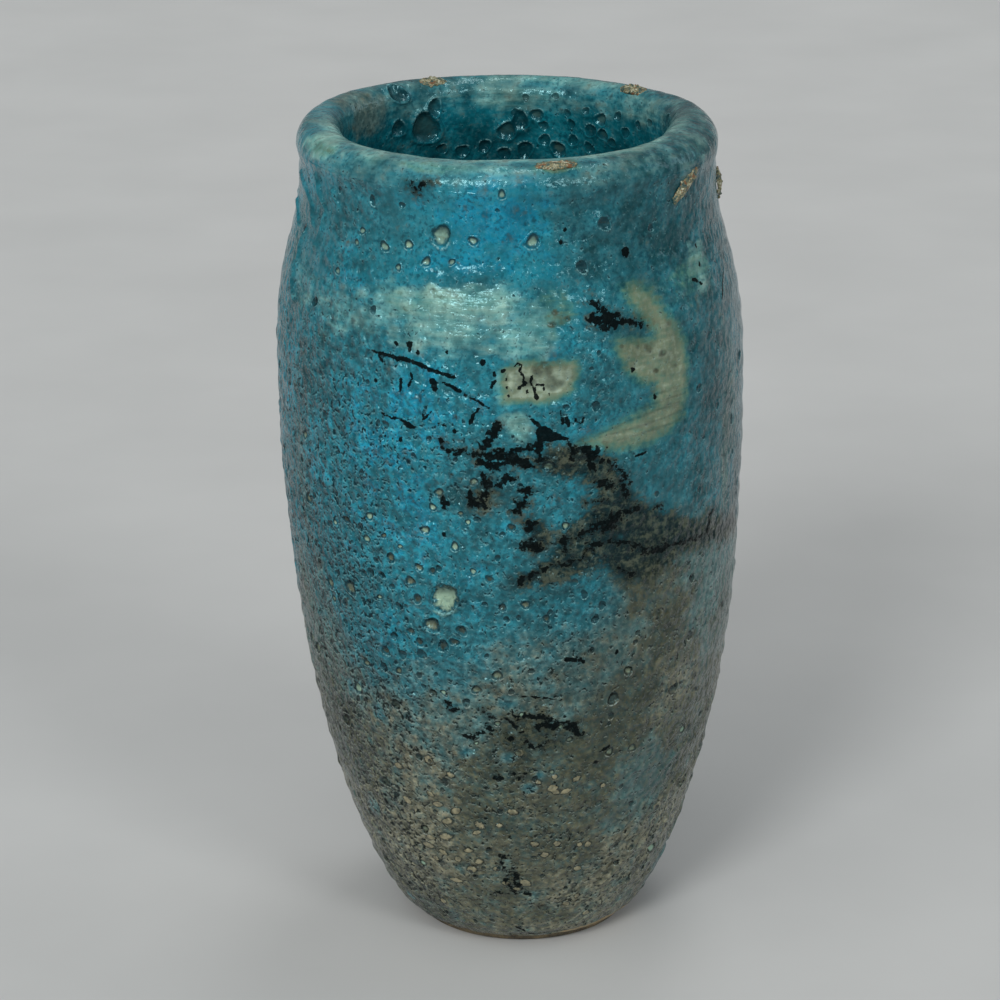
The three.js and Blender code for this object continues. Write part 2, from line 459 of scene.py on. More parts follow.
# The layout of the colours on the front: pixel, half sizes in millimetres and value
TONES = (
    (335, 215, 14, 16, 0.3), (385, 235, 10, 12, 0.32), (430, 200, 9, 8, 0.6), (475, 215, 13, 14, 0.78),
    (510, 215, 10, 13, 0.88), (541, 210, 10, 13, 0.84), (580, 215, 14, 20, 0.26), (620, 215, 18, 24, 0.2),
    (665, 225, 16, 24, 0.05), (450, 258, 22, 7, 0.66), (530, 262, 14, 7, 0.62), (600, 264, 14, 10, 0.2),
    (335, 300, 10, 8, 0.5), (340, 345, 12, 10, 0.35), (305, 370, 7, 22, 0.15), (390, 340, 14, 8, 0.45),
    (420, 400, 24, 14, 0.66), (395, 440, 18, 14, 0.76), (470, 385, 10, 10, 0.55),
    (600, 378, 11, 15, 0.24), (590, 345, 8, 7, 0.4), (345, 440, 10, 14, 0.55), (345, 530, 12, 22, 0.52),
    (405, 500, 16, 12, 0.62), (410, 545, 16, 12, 0.6), (460, 500, 8, 7, 0.2), (545, 495, 10, 6, 0.4),
    (470, 545, 10, 9, 0.34), (430, 595, 16, 12, 0.42), (510, 590, 12, 10, 0.24), (560, 600, 16, 14, 0.3),
    (560, 630, 18, 9, 0.25), (460, 640, 18, 8, 0.3), (350, 590, 10, 10, 0.3), (690, 470, 16, 20, 0.2),
    (712, 380, 8, 26, 0.05), (312, 352, 10, 12, 0.2), (322, 388, 7, 11, 0.16), (338, 424, 4, 6, 0.2),
)
# Film: the brushes on the lip and at the back of the mouth are partly painted sheen
FILMS = (
    (330, 305, 18, 11, 0.42), (385, 306, 14, 9, 0.52), (425, 308, 13, 7, 0.7), (462, 304, 13, 7, 0.9),
    (500, 304, 12, 7, 0.72), (535, 312, 9, 8, 0.5), (440, 330, 22, 9, 0.6), (525, 335, 12, 9, 0.6),
    (362, 322, 18, 8, 0.44), (302, 288, 12, 14, 0.34), (505, 395, 4, 9, 0.6), (519, 428, 7, 9, 0.7),
    (560, 453, 6, 3, 0.4), (700, 275, 9, 12, 0.55), (645, 300, 9, 8, 0.3), (375, 805, 4, 5, 0.5),
    (318, 142, 12, 6, 0.85), (450, 168, 30, 3, 0.6), (372, 158, 8, 4, 0.6), (690, 140, 10, 8, 0.35),
    (560, 78, 40, 4, 0.55), (515, 95, 18, 6, 0.5), (640, 106, 14, 6, 0.4),
)
GREYS = (
    (420, 850, 22, 20, 1.0), (500, 820, 18, 16, 0.9), (480, 905, 26, 10, 0.9), (570, 850, 16, 18, 0.95),
    (640, 790, 16, 22, 0.66), (660, 860, 12, 12, 0.55), (670, 620, 14, 18, 0.95), (610, 520, 8, 6, 0.6),
    (570, 455, 8, 5, 0.6), (490, 500, 6, 4, 0.6), (535, 545, 8, 6, 0.5), (730, 390, 11, 36, 0.36),
    (302, 470, 7, 40, 0.36), (390, 372, 5, 6, 0.3), (318, 570, 8, 18, 0.4), (300, 230, 5, 24, 0.28),
    (365, 112, 12, 12, 0.75), (345, 100, 12, 6, 0.6), (725, 470, 5, 20, 0.6), (636, 606, 8, 8, 0.85),
    (655, 585, 14, 9, 0.9),
)
OLIVES = (
    (670, 620, 18, 26, 1.0), (640, 560, 12, 8, 0.6), (570, 850, 16, 18, 0.9), (500, 860, 18, 14, 0.55),
    (420, 840, 20, 22, 0.1), (545, 915, 12, 6, 0.9), (600, 720, 14, 20, 1.0), (640, 692, 16, 16, 1.0),
    (655, 585, 14, 10, 0.9), (540, 800, 12, 12, 0.6), (636, 606, 10, 10, 1.0),
)
# Where the blue gives way to grey, from the left to the right
GREY_EDGE = (
    (303, 560), (335, 606), (362, 642), (385, 664), (420, 670), (460, 666), (500, 660), (545, 645),
    (580, 625), (602, 590), (640, 545), (690, 532), (728, 515),
)
BACK_EDGE = ((110, 112), (150, 96), (195, 120), (240, 92))  # the same on the back, as degrees and heights
# Blue that is left in the grey: pixel and half sizes in millimetres
BLUE_REMNANTS = (
    (353, 688, 5, 4), (379, 714, 4, 4), (376, 805, 4, 6), (411, 895, 3, 3), (478, 668, 12, 4),
    (425, 672, 10, 4), (506, 703, 4, 2.4), (508, 758, 3, 2.6), (540, 775, 3, 3), (530, 789, 4, 2.4),
    (466, 752, 4, 3),
)
# Darker where positive, lighter where negative: partly the glaze's own tone, partly painted shade and
# painted light, as on the darker right edge and the lighter upper wall inside the mouth
SHADES = (
    (585, 205, 12, 16, 0.15), (597, 380, 9, 14, 0.1), (590, 418, 9, 7, 0.3), (575, 500, 10, 6, 0.2),
    (640, 560, 12, 9, 0.2), (575, 585, 18, 8, 0.25), (560, 690, 14, 9, 0.2), (608, 645, 14, 16, 0.3),
    (670, 625, 16, 26, 0.12), (640, 700, 12, 12, 0.15), (545, 790, 12, 14, 0.1), (620, 250, 20, 14, 0.12),
    (490, 690, 14, 9, 0.12), (460, 600, 10, 8, 0.1), (430, 850, 18, 18, -0.14), (380, 780, 8, 16, -0.12),
    (470, 900, 18, 8, -0.1), (665, 820, 10, 16, -0.1), (405, 430, 20, 18, -0.15), (455, 148, 20, 5, 0.3),
    (530, 153, 30, 4, 0.2), (490, 794, 14, 10, -0.3), (396, 804, 12, 12, -0.25),
    (684, 276, 12, 10, -0.35), (516, 440, 6, 6, -0.3), (400, 130, 12, 8, -0.15), (636, 132, 10, 6, -0.2),
    (458, 107, 18, 7, -0.8), (640, 110, 14, 8, -0.25), (712, 380, 8, 26, 0.25), (612, 592, 12, 8, 0.3),
    (640, 612, 9, 9, 0.25), (612, 708, 10, 10, 0.25), (660, 684, 9, 9, 0.2), (555, 205, 12, 10, 0.25),
    (612, 182, 9, 6, 0.25), (400, 562, 16, 14, -0.18), (325, 445, 10, 20, -0.2), (640, 692, 16, 14, 0.26),
    (598, 692, 14, 14, 0.26), (612, 852, 12, 12, 0.22), (470, 372, 10, 8, -0.3), (352, 398, 8, 8, -0.15),
    (672, 160, 10, 4, 0.2), (612, 732, 10, 8, 0.2), (440, 800, 20, 12, -0.12), (655, 780, 16, 18, 0.25),
    (588, 660, 12, 10, 0.3), (468, 277, 12, 5, 0.2), (726, 400, 6, 30, 0.3), (660, 130, 9, 9, -0.5),
    (348, 128, 9, 9, -0.4),
)

# Pale windows in the shoulder, and washes of the same colour
PALE_WASHES = (
    (556, 167, 10, 3.5, 0.8), (322, 148, 7, 2.5, 0.45), (560, 315, 7, 8, 0.5), (688, 280, 14, 9, 0.42),
    (430, 168, 14, 3, 0.4), (415, 304, 14, 6, 0.25), (548, 300, 8, 5, 0.4),
)
WINDOW_LEFT = (
    (502, 369), (520, 362), (545, 363), (562, 361), (577, 361), (578, 376), (572, 390), (560, 399),
    (545, 403), (522, 404), (503, 402), (501, 385),
)
WINDOW_RIGHT = (
    (621, 288), (634, 280), (650, 290), (661, 305), (671, 316), (680, 328), (686, 343), (687, 364),
    (687, 395), (683, 414), (672, 431), (650, 444), (622, 451), (590, 448), (577, 443), (600, 430),
    (630, 417), (652, 404), (655, 391), (651, 385), (638, 381), (626, 369), (618, 357), (614, 346),
    (618, 337), (650, 338), (654, 331), (641, 319), (628, 306),
)
WINDOW_MIDDLE = (
    (613, 343), (622, 337), (655, 337), (686, 345), (688, 395), (656, 386), (638, 382), (625, 370),
    (617, 357),
)

# Black lines as pixels with widths in millimetres. Scratches have a clean edge, crust has a torn one.
SCRATCHES = (
    ((369, 349, 0.5), (388, 355, 1.1), (410, 361, 1.2), (439, 373, 1.2), (453, 378, 0.9)),
    ((380, 355, 0.8), (385, 363, 0.9)), ((443, 383, 0.8), (459, 391, 1.2)),
    ((464, 394, 0.6), (477, 401, 0.9), (488, 408, 0.4)),
    ((382, 413, 0.6), (391, 418, 0.8), (399, 419, 0.7), (407, 425, 1.6), (414, 427, 0.8)),
    ((401, 379, 1.0), (400, 392, 1.1)), ((410, 373, 0.8), (412, 379, 0.7), (408, 386, 0.8)),
    ((432, 382, 1.8), (434, 388, 1.6)), ((493, 373, 0.9), (495, 380, 0.7), (493, 387, 1.1)),
    ((423, 410, 0.5), (422, 419, 0.7), (431, 411, 0.5)), ((438, 424, 0.7), (446, 425, 1.0)),
    ((470, 422, 1.4), (472, 416, 0.9), (477, 409, 0.8)), ((561, 410, 0.6), (562, 424, 0.7)),
    ((567, 417, 1.1), (569, 425, 1.0)), ((576, 420, 1.0), (581, 424, 0.6), (584, 418, 0.5)),
    ((514, 367, 0.5), (517, 363, 0.6), (521, 366, 0.5), (519, 371, 0.4), (523, 376, 0.6), (524, 381, 0.7)),
    ((532, 376, 0.7), (530, 381, 0.8), (533, 387, 0.6), (534, 391, 0.8), (537, 397, 1.0)),
    ((526, 384, 1.0), (518, 388, 0.8)), ((536, 384, 0.6), (543, 385, 0.5)),
    ((636, 456, 0.5), (651, 452, 0.5)), ((567, 659, 1.3), (584, 661, 1.3)),
    ((517, 697, 0.4), (540, 698, 0.5), (561, 700, 0.4)), ((600, 751, 0.5), (608, 745, 0.9)),
    ((516, 925, 0.6), (527, 931, 0.8), (540, 937, 0.6)), ((530, 933, 0.5), (558, 930, 0.6)),
    ((692, 279, 1.1), (701, 284, 0.8)), ((723, 273, 0.9), (722, 298, 0.7)),
)
CRUST_LINES = (
    ((497, 422, 1.2), (493, 433, 2.0), (488, 444, 2.4), (483, 447, 2.0)),
    ((441, 443, 1.4), (447, 450, 0.8), (473, 453, 1.0), (492, 457, 2.8), (516, 456, 2.6)),
    ((478, 460, 1.6), (492, 466, 2.6), (504, 463, 2.0)),
    ((592, 303, 1.4), (599, 308, 2.0), (606, 313, 2.2)),
    ((595, 319, 2.6), (605, 323, 3.0), (614, 322, 2.8), (624, 321, 1.8)),
    ((598, 326, 1.6), (610, 327, 1.6)), ((606, 314, 2.0), (615, 317, 1.8)),
    ((631, 323, 1.6), (641, 324, 1.2)), ((514, 453, 1.4), (526, 450, 1.8), (540, 446, 2.0)),
    ((516, 462, 2.2), (530, 465, 2.0)), ((538, 452, 2.0), (542, 460, 1.6)),
    ((570, 446, 1.6), (574, 456, 1.6)), ((584, 449, 2.4), (592, 455, 3.4), (598, 450, 1.6)),
    ((590, 462, 1.8), (594, 470, 1.6)),
    ((600, 461, 0.8), (613, 466, 1.0), (624, 474, 1.2), (631, 483, 0.8)),
    ((600, 483, 1.8), (612, 487, 1.4)), ((621, 479, 1.4), (626, 494, 1.2)),
    ((482, 476, 1.8), (486, 490, 1.6), (482, 498, 2.0)),
    ((490, 484, 1.6), (500, 487, 1.2), (508, 478, 2.4)),
    ((469, 494, 2.0), (474, 504, 2.8), (482, 506, 1.6)), ((524, 490, 2.2), (529, 493, 1.8)),
    ((524, 501, 2.4), (518, 506, 2.8), (515, 512, 1.6)), ((444, 500, 1.2), (445, 508, 1.2)),
    ((532, 522, 2.4), (530, 530, 2.0)), ((524, 547, 2.0), (532, 543, 2.4), (538, 550, 1.8)),
    ((512, 711, 0.8), (517, 716, 1.2), (526, 716, 1.0), (541, 718, 1.4), (556, 722, 1.2)),
    ((545, 721, 1.6), (551, 726, 2.2), (558, 723, 1.0)),
    ((566, 723, 1.6), (573, 727, 2.8), (580, 735, 1.2)), ((506, 735, 0.8), (511, 739, 0.7)),
    ((527, 741, 0.9), (532, 748, 1.1)), ((541, 746, 0.7), (546, 741, 0.6)),
    ((515, 728, 0.9), (521, 733, 0.7)), ((508, 719, 0.8), (512, 724, 0.9)),
    ((548, 735, 0.7), (554, 739, 0.6)), ((536, 727, 0.9), (541, 732, 0.7)),
    ((484, 711, 1.4), (490, 717, 1.2)), ((488, 724, 1.2), (492, 731, 1.0)),
    ((466, 736, 1.0), (473, 738, 1.0), (482, 732, 0.7)), ((447, 703, 2.0), (454, 710, 1.8)),
    ((495, 776, 1.6), (502, 779, 1.2)), ((509, 770, 0.6), (520, 777, 0.6), (526, 775, 0.5)),
    ((500, 855, 0.9), (508, 856, 0.8), (514, 850, 0.5)),
    ((501, 862, 1.0), (507, 872, 1.2), (506, 882, 0.9)),
    ((512, 866, 0.9), (515, 878, 1.6), (520, 886, 1.2)), ((508, 884, 1.2), (514, 893, 1.4)),
    ((490, 895, 0.8), (500, 891, 1.0), (508, 894, 0.7)),
    ((516, 890, 1.0), (526, 892, 0.8), (530, 895, 0.5)),
)
# Crust that only breaks through its smoke in places
FAINT_LINES = (
    ((564, 541, 3.0), (567, 559, 2.6)),
    ((582, 536, 2.6), (592, 528, 3.0), (608, 524, 5.0), (618, 518, 3.4)),
    ((628, 512, 3.6), (640, 508, 2.6)), ((590, 546, 2.0), (612, 540, 2.4), (640, 545, 2.0)),
    ((642, 550, 3.2), (661, 548, 3.0), (687, 540, 1.8), (712, 533, 1.6)),
    ((708, 530, 2.2), (710, 516, 2.0), (716, 506, 1.4)), ((656, 505, 1.6), (666, 511, 1.6)),
    ((586, 503, 1.0), (607, 501, 1.0)),
    ((520, 581, 2.4), (536, 575, 2.0), (548, 568, 1.6), (582, 560, 1.2)),
    ((618, 568, 1.6), (632, 574, 2.2), (640, 574, 1.6)),
    ((408, 184, 1.6), (418, 187, 2.4), (430, 182, 1.4)), ((414, 192, 1.4), (424, 196, 1.2)),
)
# Fine lines that a brush left in the sweep of the right window
BRUSH_LINES = (
    ((578, 441), (600, 433), (630, 421), (660, 409), (680, 402)),
    ((600, 438), (630, 429), (660, 419), (682, 410)), ((618, 440), (650, 430), (680, 419)),
    ((655, 394), (684, 385)), ((640, 408), (668, 398), (685, 393)),
)
# Outline of the largest black patch, and dots as pixels with widths in millimetres
BLACK_AREA = (
    (526, 415), (538, 421), (554, 430), (571, 438), (568, 441), (554, 441), (537, 442), (535, 434),
    (538, 428), (531, 421),
)
BLACK_DOTS = (
    (397, 342, 1.2), (409, 344, 1.6), (410, 348, 1.2), (418, 352, 1.1), (447, 351, 1.2), (483, 362, 1.7),
    (376, 380, 1.1), (502, 370, 1.1), (507, 378, 0.6), (507, 387, 0.7), (509, 395, 0.6), (527, 391, 0.7),
    (550, 394, 0.5), (543, 389, 0.5), (447, 503, 1.4), (443, 535, 1.2), (625, 252, 2.4), (565, 230, 1.0),
    (561, 242, 1.0), (696, 245, 1.0), (699, 263, 0.9), (633, 369, 1.1), (655, 396, 0.9), (596, 762, 1.2),
    (616, 652, 0.8), (400, 440, 0.9), (385, 436, 0.8), (362, 430, 0.9), (455, 430, 0.9),
)
# Soft brown-grey stains in and above the windows: pixel and half sizes in millimetres
STAINS = (
    (541, 370, 3.4, 2.6), (558, 383, 5.2, 2.8), (524, 384, 4.0, 2.4), (637, 345, 1.4, 2.0),
    (648, 346, 2.2, 2.2), (664, 352, 2.4, 1.6), (675, 365, 2.0, 1.3), (657, 370, 1.6, 1.2),
    (622, 346, 1.4, 1.4), (555, 311, 1.6, 1.2), (567, 318, 1.6, 1.2), (552, 325, 2, 1.2),
)
# Outlines of the smoky patches about the crust, and of weaker ones
SMOKE_BAND = (
    (528, 456), (548, 447), (590, 446), (614, 462), (630, 482), (640, 500), (668, 510), (700, 520),
    (735, 508), (737, 530), (712, 545), (680, 556), (655, 580), (625, 585), (600, 570), (560, 580),
    (522, 588), (518, 572), (545, 560), (556, 538), (575, 520), (592, 505), (598, 490), (585, 482),
    (560, 476), (536, 474),
)
SMOKE_SPOT = ((520, 520), (546, 517), (551, 545), (536, 558), (524, 546))
FAINT_SMOKE = (
    ((406, 180), (418, 178), (431, 183), (428, 193), (416, 197), (408, 192)),
    ((465, 478), (500, 474), (520, 484), (524, 500), (505, 514), (480, 512), (468, 500)),
    ((500, 712), (545, 712), (585, 726), (580, 745), (545, 762), (505, 756), (496, 735)),
    ((503, 855), (516, 862), (520, 880), (527, 892), (510, 896), (500, 885)),
    ((535, 806), (555, 800), (562, 815), (550, 826), (538, 822)),
)
# Runs of glaze down the left of the neck, as pixels with widths in millimetres
RUNS = (
    ((302, 172, 1.4), (307, 192, 1.6), (312, 206, 1.4), (314, 224, 1.0)),
    ((316, 174, 1.2), (319, 192, 1.6), (326, 210, 1.4), (322, 229, 1.4), (315, 245, 1.0)),
    ((298, 200, 1.4), (300, 224, 1.2)), ((333, 190, 1.2), (338, 206, 1.2), (336, 222, 0.9)),
    ((306, 228, 1.4), (300, 246, 1.2), (298, 262, 1.0)),
    ((296, 262, 1.2), (293, 282, 1.2), (295, 300, 1.0)),
)
# Slanting folds in the glaze at the lower right
FOLDS = (
    ((600, 884), (622, 862), (640, 838)), ((624, 882), (640, 864), (654, 846)),
    ((640, 846), (654, 832), (668, 816)), ((646, 874), (660, 862), (674, 850)),
    ((648, 815), (664, 800), (684, 782)), ((664, 796), (672, 786), (680, 772)),
    ((626, 836), (640, 818), (652, 800)), ((668, 838), (680, 822), (690, 800)),
    ((606, 850), (618, 836), (628, 820)), ((682, 782), (694, 764), (702, 744)),
    ((660, 772), (674, 756), (686, 742)), ((690, 740), (702, 722), (710, 700)),
)

# Craters that the photograph shows: pixel, width in millimetres and the colour of the floor
PALE, MINT, TAN, BROWN, DARK = 0.0, 0.25, 0.5, 0.85, 1.0
CRATERS = (
    (441, 236, 5.4, MINT), (363, 231, 2.0, MINT), (357, 242, 1.8, MINT), (385, 247, 3.1, MINT),
    (409, 244, 2.8, PALE), (398, 268, 1.9, MINT), (427, 261, 2.6, MINT), (451, 262, 2.0, MINT),
    (473, 241, 2.6, MINT), (502, 194, 2.2, MINT), (497, 210, 1.3, DARK), (338, 271, 2.0, MINT),
    (532, 242, 3.6, MINT), (603, 223, 3.4, DARK), (581, 267, 3.0, DARK), (473, 482, 2.2, PALE),
    (438, 493, 2.6, TAN), (432, 507, 2.1, PALE), (369, 517, 2.5, PALE), (424, 531, 2.8, PALE),
    (334, 523, 1.8, PALE), (367, 539, 2.4, PALE), (383, 537, 1.7, TAN), (454, 547, 2.4, PALE),
    (400, 547, 1.6, PALE), (390, 558, 2.8, TAN), (374, 561, 2.0, DARK), (370, 573, 2.6, DARK),
    (381, 575, 2.3, DARK), (418, 568, 2.6, TAN), (432, 571, 1.9, BROWN), (410, 582, 2.9, TAN),
    (391, 588, 2.0, DARK), (417, 599, 2.6, BROWN), (398, 607, 2.2, DARK), (405, 607, 1.4, DARK),
    (432, 625, 4.6, TAN), (410, 631, 2.6, BROWN), (462, 630, 3.1, BROWN), (473, 572, 2.1, PALE),
    (490, 580, 2.4, BROWN), (511, 527, 2.1, BROWN), (503, 535, 1.7, DARK), (379, 598, 1.8, PALE),
    (345, 602, 2.0, DARK), (502, 608, 2.4, BROWN), (506, 620, 1.7, DARK), (460, 513, 1.7, TAN),
    (468, 523, 1.7, PALE), (565, 525, 2.4, PALE), (526, 604, 2.5, TAN), (575, 583, 2.1, DARK),
    (547, 619, 2.1, BROWN), (603, 606, 2.2, DARK), (595, 619, 2.2, DARK), (393, 636, 2.1, DARK),
    (419, 643, 2.6, BROWN), (443, 646, 3.2, BROWN), (454, 642, 2.6, BROWN), (385, 651, 2.8, BROWN),
    (402, 655, 2.7, DARK), (421, 654, 2.7, DARK), (367, 663, 2.4, TAN), (384, 667, 2.4, DARK),
    (398, 671, 2.1, TAN), (497, 676, 2.9, TAN), (476, 691, 2.9, TAN), (443, 693, 1.9, PALE),
    (512, 692, 1.9, DARK), (432, 693, 2.3, DARK), (395, 704, 2.9, BROWN), (466, 704, 2.4, DARK),
    (476, 743, 1.6, PALE), (498, 723, 1.9, TAN), (531, 671, 1.9, DARK), (628, 671, 2.9, TAN),
    (522, 715, 1.9, PALE), (560, 727, 1.9, PALE), (518, 752, 2.1, TAN), (532, 772, 1.5, TAN),
    (552, 772, 1.7, TAN), (632, 747, 2.6, TAN), (570, 739, 2.1, TAN), (609, 752, 2.6, TAN),
    (636, 643, 1.7, DARK),
)
BIG_CRATER = (445, 598, 7.0, PALE)
BIG_LIP_HIGHLIGHT = ((434, 611), (444, 615), (456, 610))  # painted highlight along its lower edge
# The same inside the mouth
INSIDE_CRATERS = (
    (425, 128, 8.4, BROWN), (435, 108, 4.4, DARK), (397, 93, 5.6, DARK), (507, 132, 5.0, BROWN),
    (537, 116, 3.6, TAN), (601, 119, 3.6, MINT), (526, 99, 2.2, DARK), (525, 150, 4.4, DARK),
    (604, 134, 3.2, BROWN), (398, 128, 4.6, DARK), (571, 125, 2.4, DARK), (543, 127, 2.8, DARK),
    (544, 140, 3.2, DARK), (558, 149, 4.2, TAN), (573, 140, 3.0, DARK), (590, 149, 3.2, DARK),
    (618, 117, 2.6, DARK), (567, 113, 2.2, DARK), (586, 112, 2.2, DARK), (505, 153, 3.6, DARK),
    (626, 133, 3.0, DARK), (668, 118, 2.6, DARK), (462, 150, 3.6, DARK), (484, 145, 3.4, DARK),
    (638, 126, 2.4, DARK), (515, 112, 2.2, DARK), (555, 96, 2.0, DARK), (612, 142, 2.6, DARK),
    (650, 122, 2.4, DARK), (442, 148, 3.0, DARK),
)
# Bubbles that never burst, as pixel and width, and broad swellings with their height
SWELLINGS = ((603, 223, 13, 0.7), (581, 267, 7, 0.4))
BUBBLES = (
    (363, 230, 1.6), (451, 266, 1.8), (437, 277, 1.6), (394, 270, 1.6), (425, 269, 1.6), (512, 278, 1.6),
    (484, 254, 1.4), (344, 257, 1.6), (603, 198, 1.4), (454, 246, 1.6), (381, 284, 1.6), (470, 274, 1.4),
    (355, 262, 1.4), (500, 262, 1.4), (528, 274, 1.6), (410, 254, 1.4), (372, 250, 1.4), (418, 284, 1.4),
)
# Pale chips of grit in the grey glaze: pixel, length and height in millimetres
CHIPS = (
    (456, 811, 3.2, 2.0), (448, 820, 3.6, 2.2), (480, 825, 3.4, 2.4), (446, 835, 4.4, 2.6),
    (429, 844, 4.4, 2.2), (472, 868, 3.2, 2.5), (456, 879, 3.4, 1.8), (438, 804, 3.0, 2.0),
    (431, 793, 2.4, 1.6), (469, 849, 2.8, 1.7), (429, 759, 2.8, 3.0), (399, 766, 3.0, 2.0),
    (553, 787, 2.8, 2.2), (566, 791, 3.2, 1.6), (603, 785, 2.0, 1.8), (525, 882, 3.4, 2.4),
    (545, 854, 2.4, 2.0), (580, 844, 1.9, 1.7), (496, 869, 2.1, 1.8), (520, 752, 2.4, 2.0),
)


# The zones. Noise is given as layers of height, size and seed, and sides of the vase in degrees
EDGE_BLUR = 12  # columns over which the edge of the grey is evened out
EDGE_NOISE = ((9, 22, 1), (8, 11, 6), (5, 5, 3))
STEEL_BELOW, STEEL_GREY = (-16, 16), 0.62  # lengths below that edge, and the grey that comes in between them
WARM_BELOW, WARM_GREY = (12, 45), 0.3
TONE, TONE_NOISE = 0.46, ((0.12, 22, 1), (0.08, 9, 2))
RIGHT_SIDE, DULL_RIGHT = (14, 38, 95, 140), 0.32
OLIVE_LUMPS, OLIVE_FROM = (30, 5), (-0.2, 0.6)  # size and seed, and the noise between which it comes in
LIP_BAND = ((-6, 3), (0, 8))  # lengths past the start of the lip, and past its end
LIP_LOOK = (("tone", -0.1), ("film", 0.28), ("grey", 0.1), ("shade", -0.1))
MOUTH_BAND, MOUTH_SIDES = ((-1, 2), (5, 9)), (-0.2, 0.4)  # lengths past the top of the lip
# Painted light on the front edge of the mouth: more film and less shade
MOUTH_PAINTED_LIGHT = (("film", 0.35), ("shade", -0.25))
TEAL_START, TEAL_FULL = 8, 4  # lengths past the start of the lip, and past its end
# Painted shade that deepens inside the mouth, and the lengths past the end of the lip between which it comes
# in
INSIDE_SHADE, SHADED_FROM = 0.2, (6, 34)
REMNANT_LOOK = (("grey", 0.36), ("tone", 0.4))
SCRAPED_SIDE, SCRAPED = (12, 30, 60, 90), 2.4  # where the foot is scraped bare, and how much higher
BARE_BELOW, BARE_NOISE = (1.8, 3.0), (1.2, 9, 7)
SMOKES = (((SMOKE_BAND, SMOKE_SPOT), 0.9), (FAINT_SMOKE, 0.5))  # outlines and strength
SMOKE_EDGE = 3.0


def paint_grey():
    """Grey glaze below an edge that the photograph shows on the front."""
    edge = [(t, np.interp(a, ARC, HEIGHT)) for t, a in spots(GREY_EDGE)]
    edge += [(math.radians(degrees), height) for degrees, height in BACK_EDGE]
    line = np.interp(ANGLE, *np.array(edge).T, period=TURN)
    line = np.mean([np.roll(line, shift) for shift in range(-EDGE_BLUR, EDGE_BLUR + 1)], axis=0)
    below = line - HEIGHT[:, None] + mixed(*EDGE_NOISE)
    grey = STEEL_GREY * smooth(below, *STEEL_BELOW) + WARM_GREY * smooth(below, *WARM_BELOW)
    field["grey"] += np.where(OUTSIDE, grey, 0)


def paint_lip():
    """The paler lip, painted light on the front edge of the mouth, and the teal inside, darker further down
    with painted shade.
    """
    start, end = LIP_BAND
    lip = past(LIP_START, *start) * (1 - past(INNER_START, *end))
    for name, value in LIP_LOOK:
        field[name] += value * lip
    # painted light on the front edge of the mouth
    start, end = MOUTH_BAND
    mouth = past(LIP_TOP, *start) * (1 - past(LIP_TOP, *end)) * smooth(FRONT, *MOUTH_SIDES)
    for name, value in MOUTH_PAINTED_LIGHT:
        field[name] += value * mouth
    # painted shade deeper inside the mouth
    field["shade"] += INSIDE_SHADE * past(INNER_START, *SHADED_FROM)
    field["inside"] += smooth(ARC, ARC[LIP_START] + TEAL_START, ARC[INNER_START] + TEAL_FULL)[:, None]


def paint_zones():
    """Blue above, grey below, teal inside and bare clay along the foot, then what the photograph shows."""
    paint_grey()
    field["tone"] += TONE - DULL_RIGHT * around(*RIGHT_SIDE) + mixed(*TONE_NOISE)
    field["olive"] += smooth(lumps(*OLIVE_LUMPS), *OLIVE_FROM)
    paint_lip()
    layouts = {"tone": TONES, "film": FILMS, "grey": GREYS, "olive": OLIVES, "shade": SHADES}
    for name, brushes in layouts.items():
        for x, y, wide, tall, value in brushes:
            brush(name, spot(x, y), wide, tall, value)
    for x, y, wide, tall in BLUE_REMNANTS:
        for name, value in REMNANT_LOOK:
            brush(name, spot(x, y), wide, tall, value)
    for outlines, strength in SMOKES:
        for pixels in outlines:
            area("smoke", spots(pixels), SMOKE_EDGE, strength)
    above_foot = HEIGHT[:, None] - SCRAPED * around(*SCRAPED_SIDE) + mixed(BARE_NOISE)
    field["bare"] += np.where(OUTSIDE, 1 - smooth(above_foot, *BARE_BELOW), 0)


CLEAN_EDGE, TORN_EDGE = 0.45, 1.9  # how far the edge of a mark wanders, in millimetres
CRUST_SPREAD = 1.15
HALO = 2.2  # width of the smoke about a line of crust, as a share of the line's width
STAIN = 0.5
BRUSH_WIDTHS, BRUSH_EDGE, BRUSH_SHADE = (0.3, 0.5, 0.3), 0.3, 0.4
# Outline, softness of the edge in millimetres, and strength
WINDOWS = ((WINDOW_LEFT, 2.0, 1.1), (WINDOW_RIGHT, 2.8, 0.9), (WINDOW_MIDDLE, 2.2, 0.95))
# Lines, how much wider they get, and the strength of their black and of their smoke
CRUSTS = ((CRUST_LINES, CRUST_SPREAD, 1.0, 0.6), (FAINT_LINES, 1.0, 0.8, 0.8))


def paint_marks():
    """The pale windows with their brush lines and stains, the scratches and the black crust."""
    for outline, soft, strength in WINDOWS:
        area("pale", spots(outline), soft, strength)
    for x, y, wide, tall, value in PALE_WASHES:
        brush("pale", spot(x, y), wide, tall, value)
    for x, y, wide, tall in STAINS:
        brush("smoke", spot(x, y), wide, tall, STAIN)
    for pixels in BRUSH_LINES:
        stroke("shade", spots(pixels), BRUSH_WIDTHS, BRUSH_EDGE, BRUSH_SHADE)
    for line in SCRATCHES:
        stroke("black", *traced(line), CLEAN_EDGE)
    for lines, spread, black, smoke in CRUSTS:
        for line in lines:
            places, widths = traced(line)
            stroke("black", places, spread * widths, TORN_EDGE, black)
            stroke("smoke", places, HALO * widths, SMOKE_EDGE, smoke)
    area("black", spots(BLACK_AREA), CLEAN_EDGE)
    for x, y, width in BLACK_DOTS:
        stroke("black", spots([(x, y), (x, y + 1)]), (width, width), CLEAN_EDGE)


def raise_line(places, widths, height):
    """A rounded ridge along a line of the glaze."""
    where, away, width = beside(places, widths)
    relief[where] += height * (1 - smooth(away / width, 0, 1))


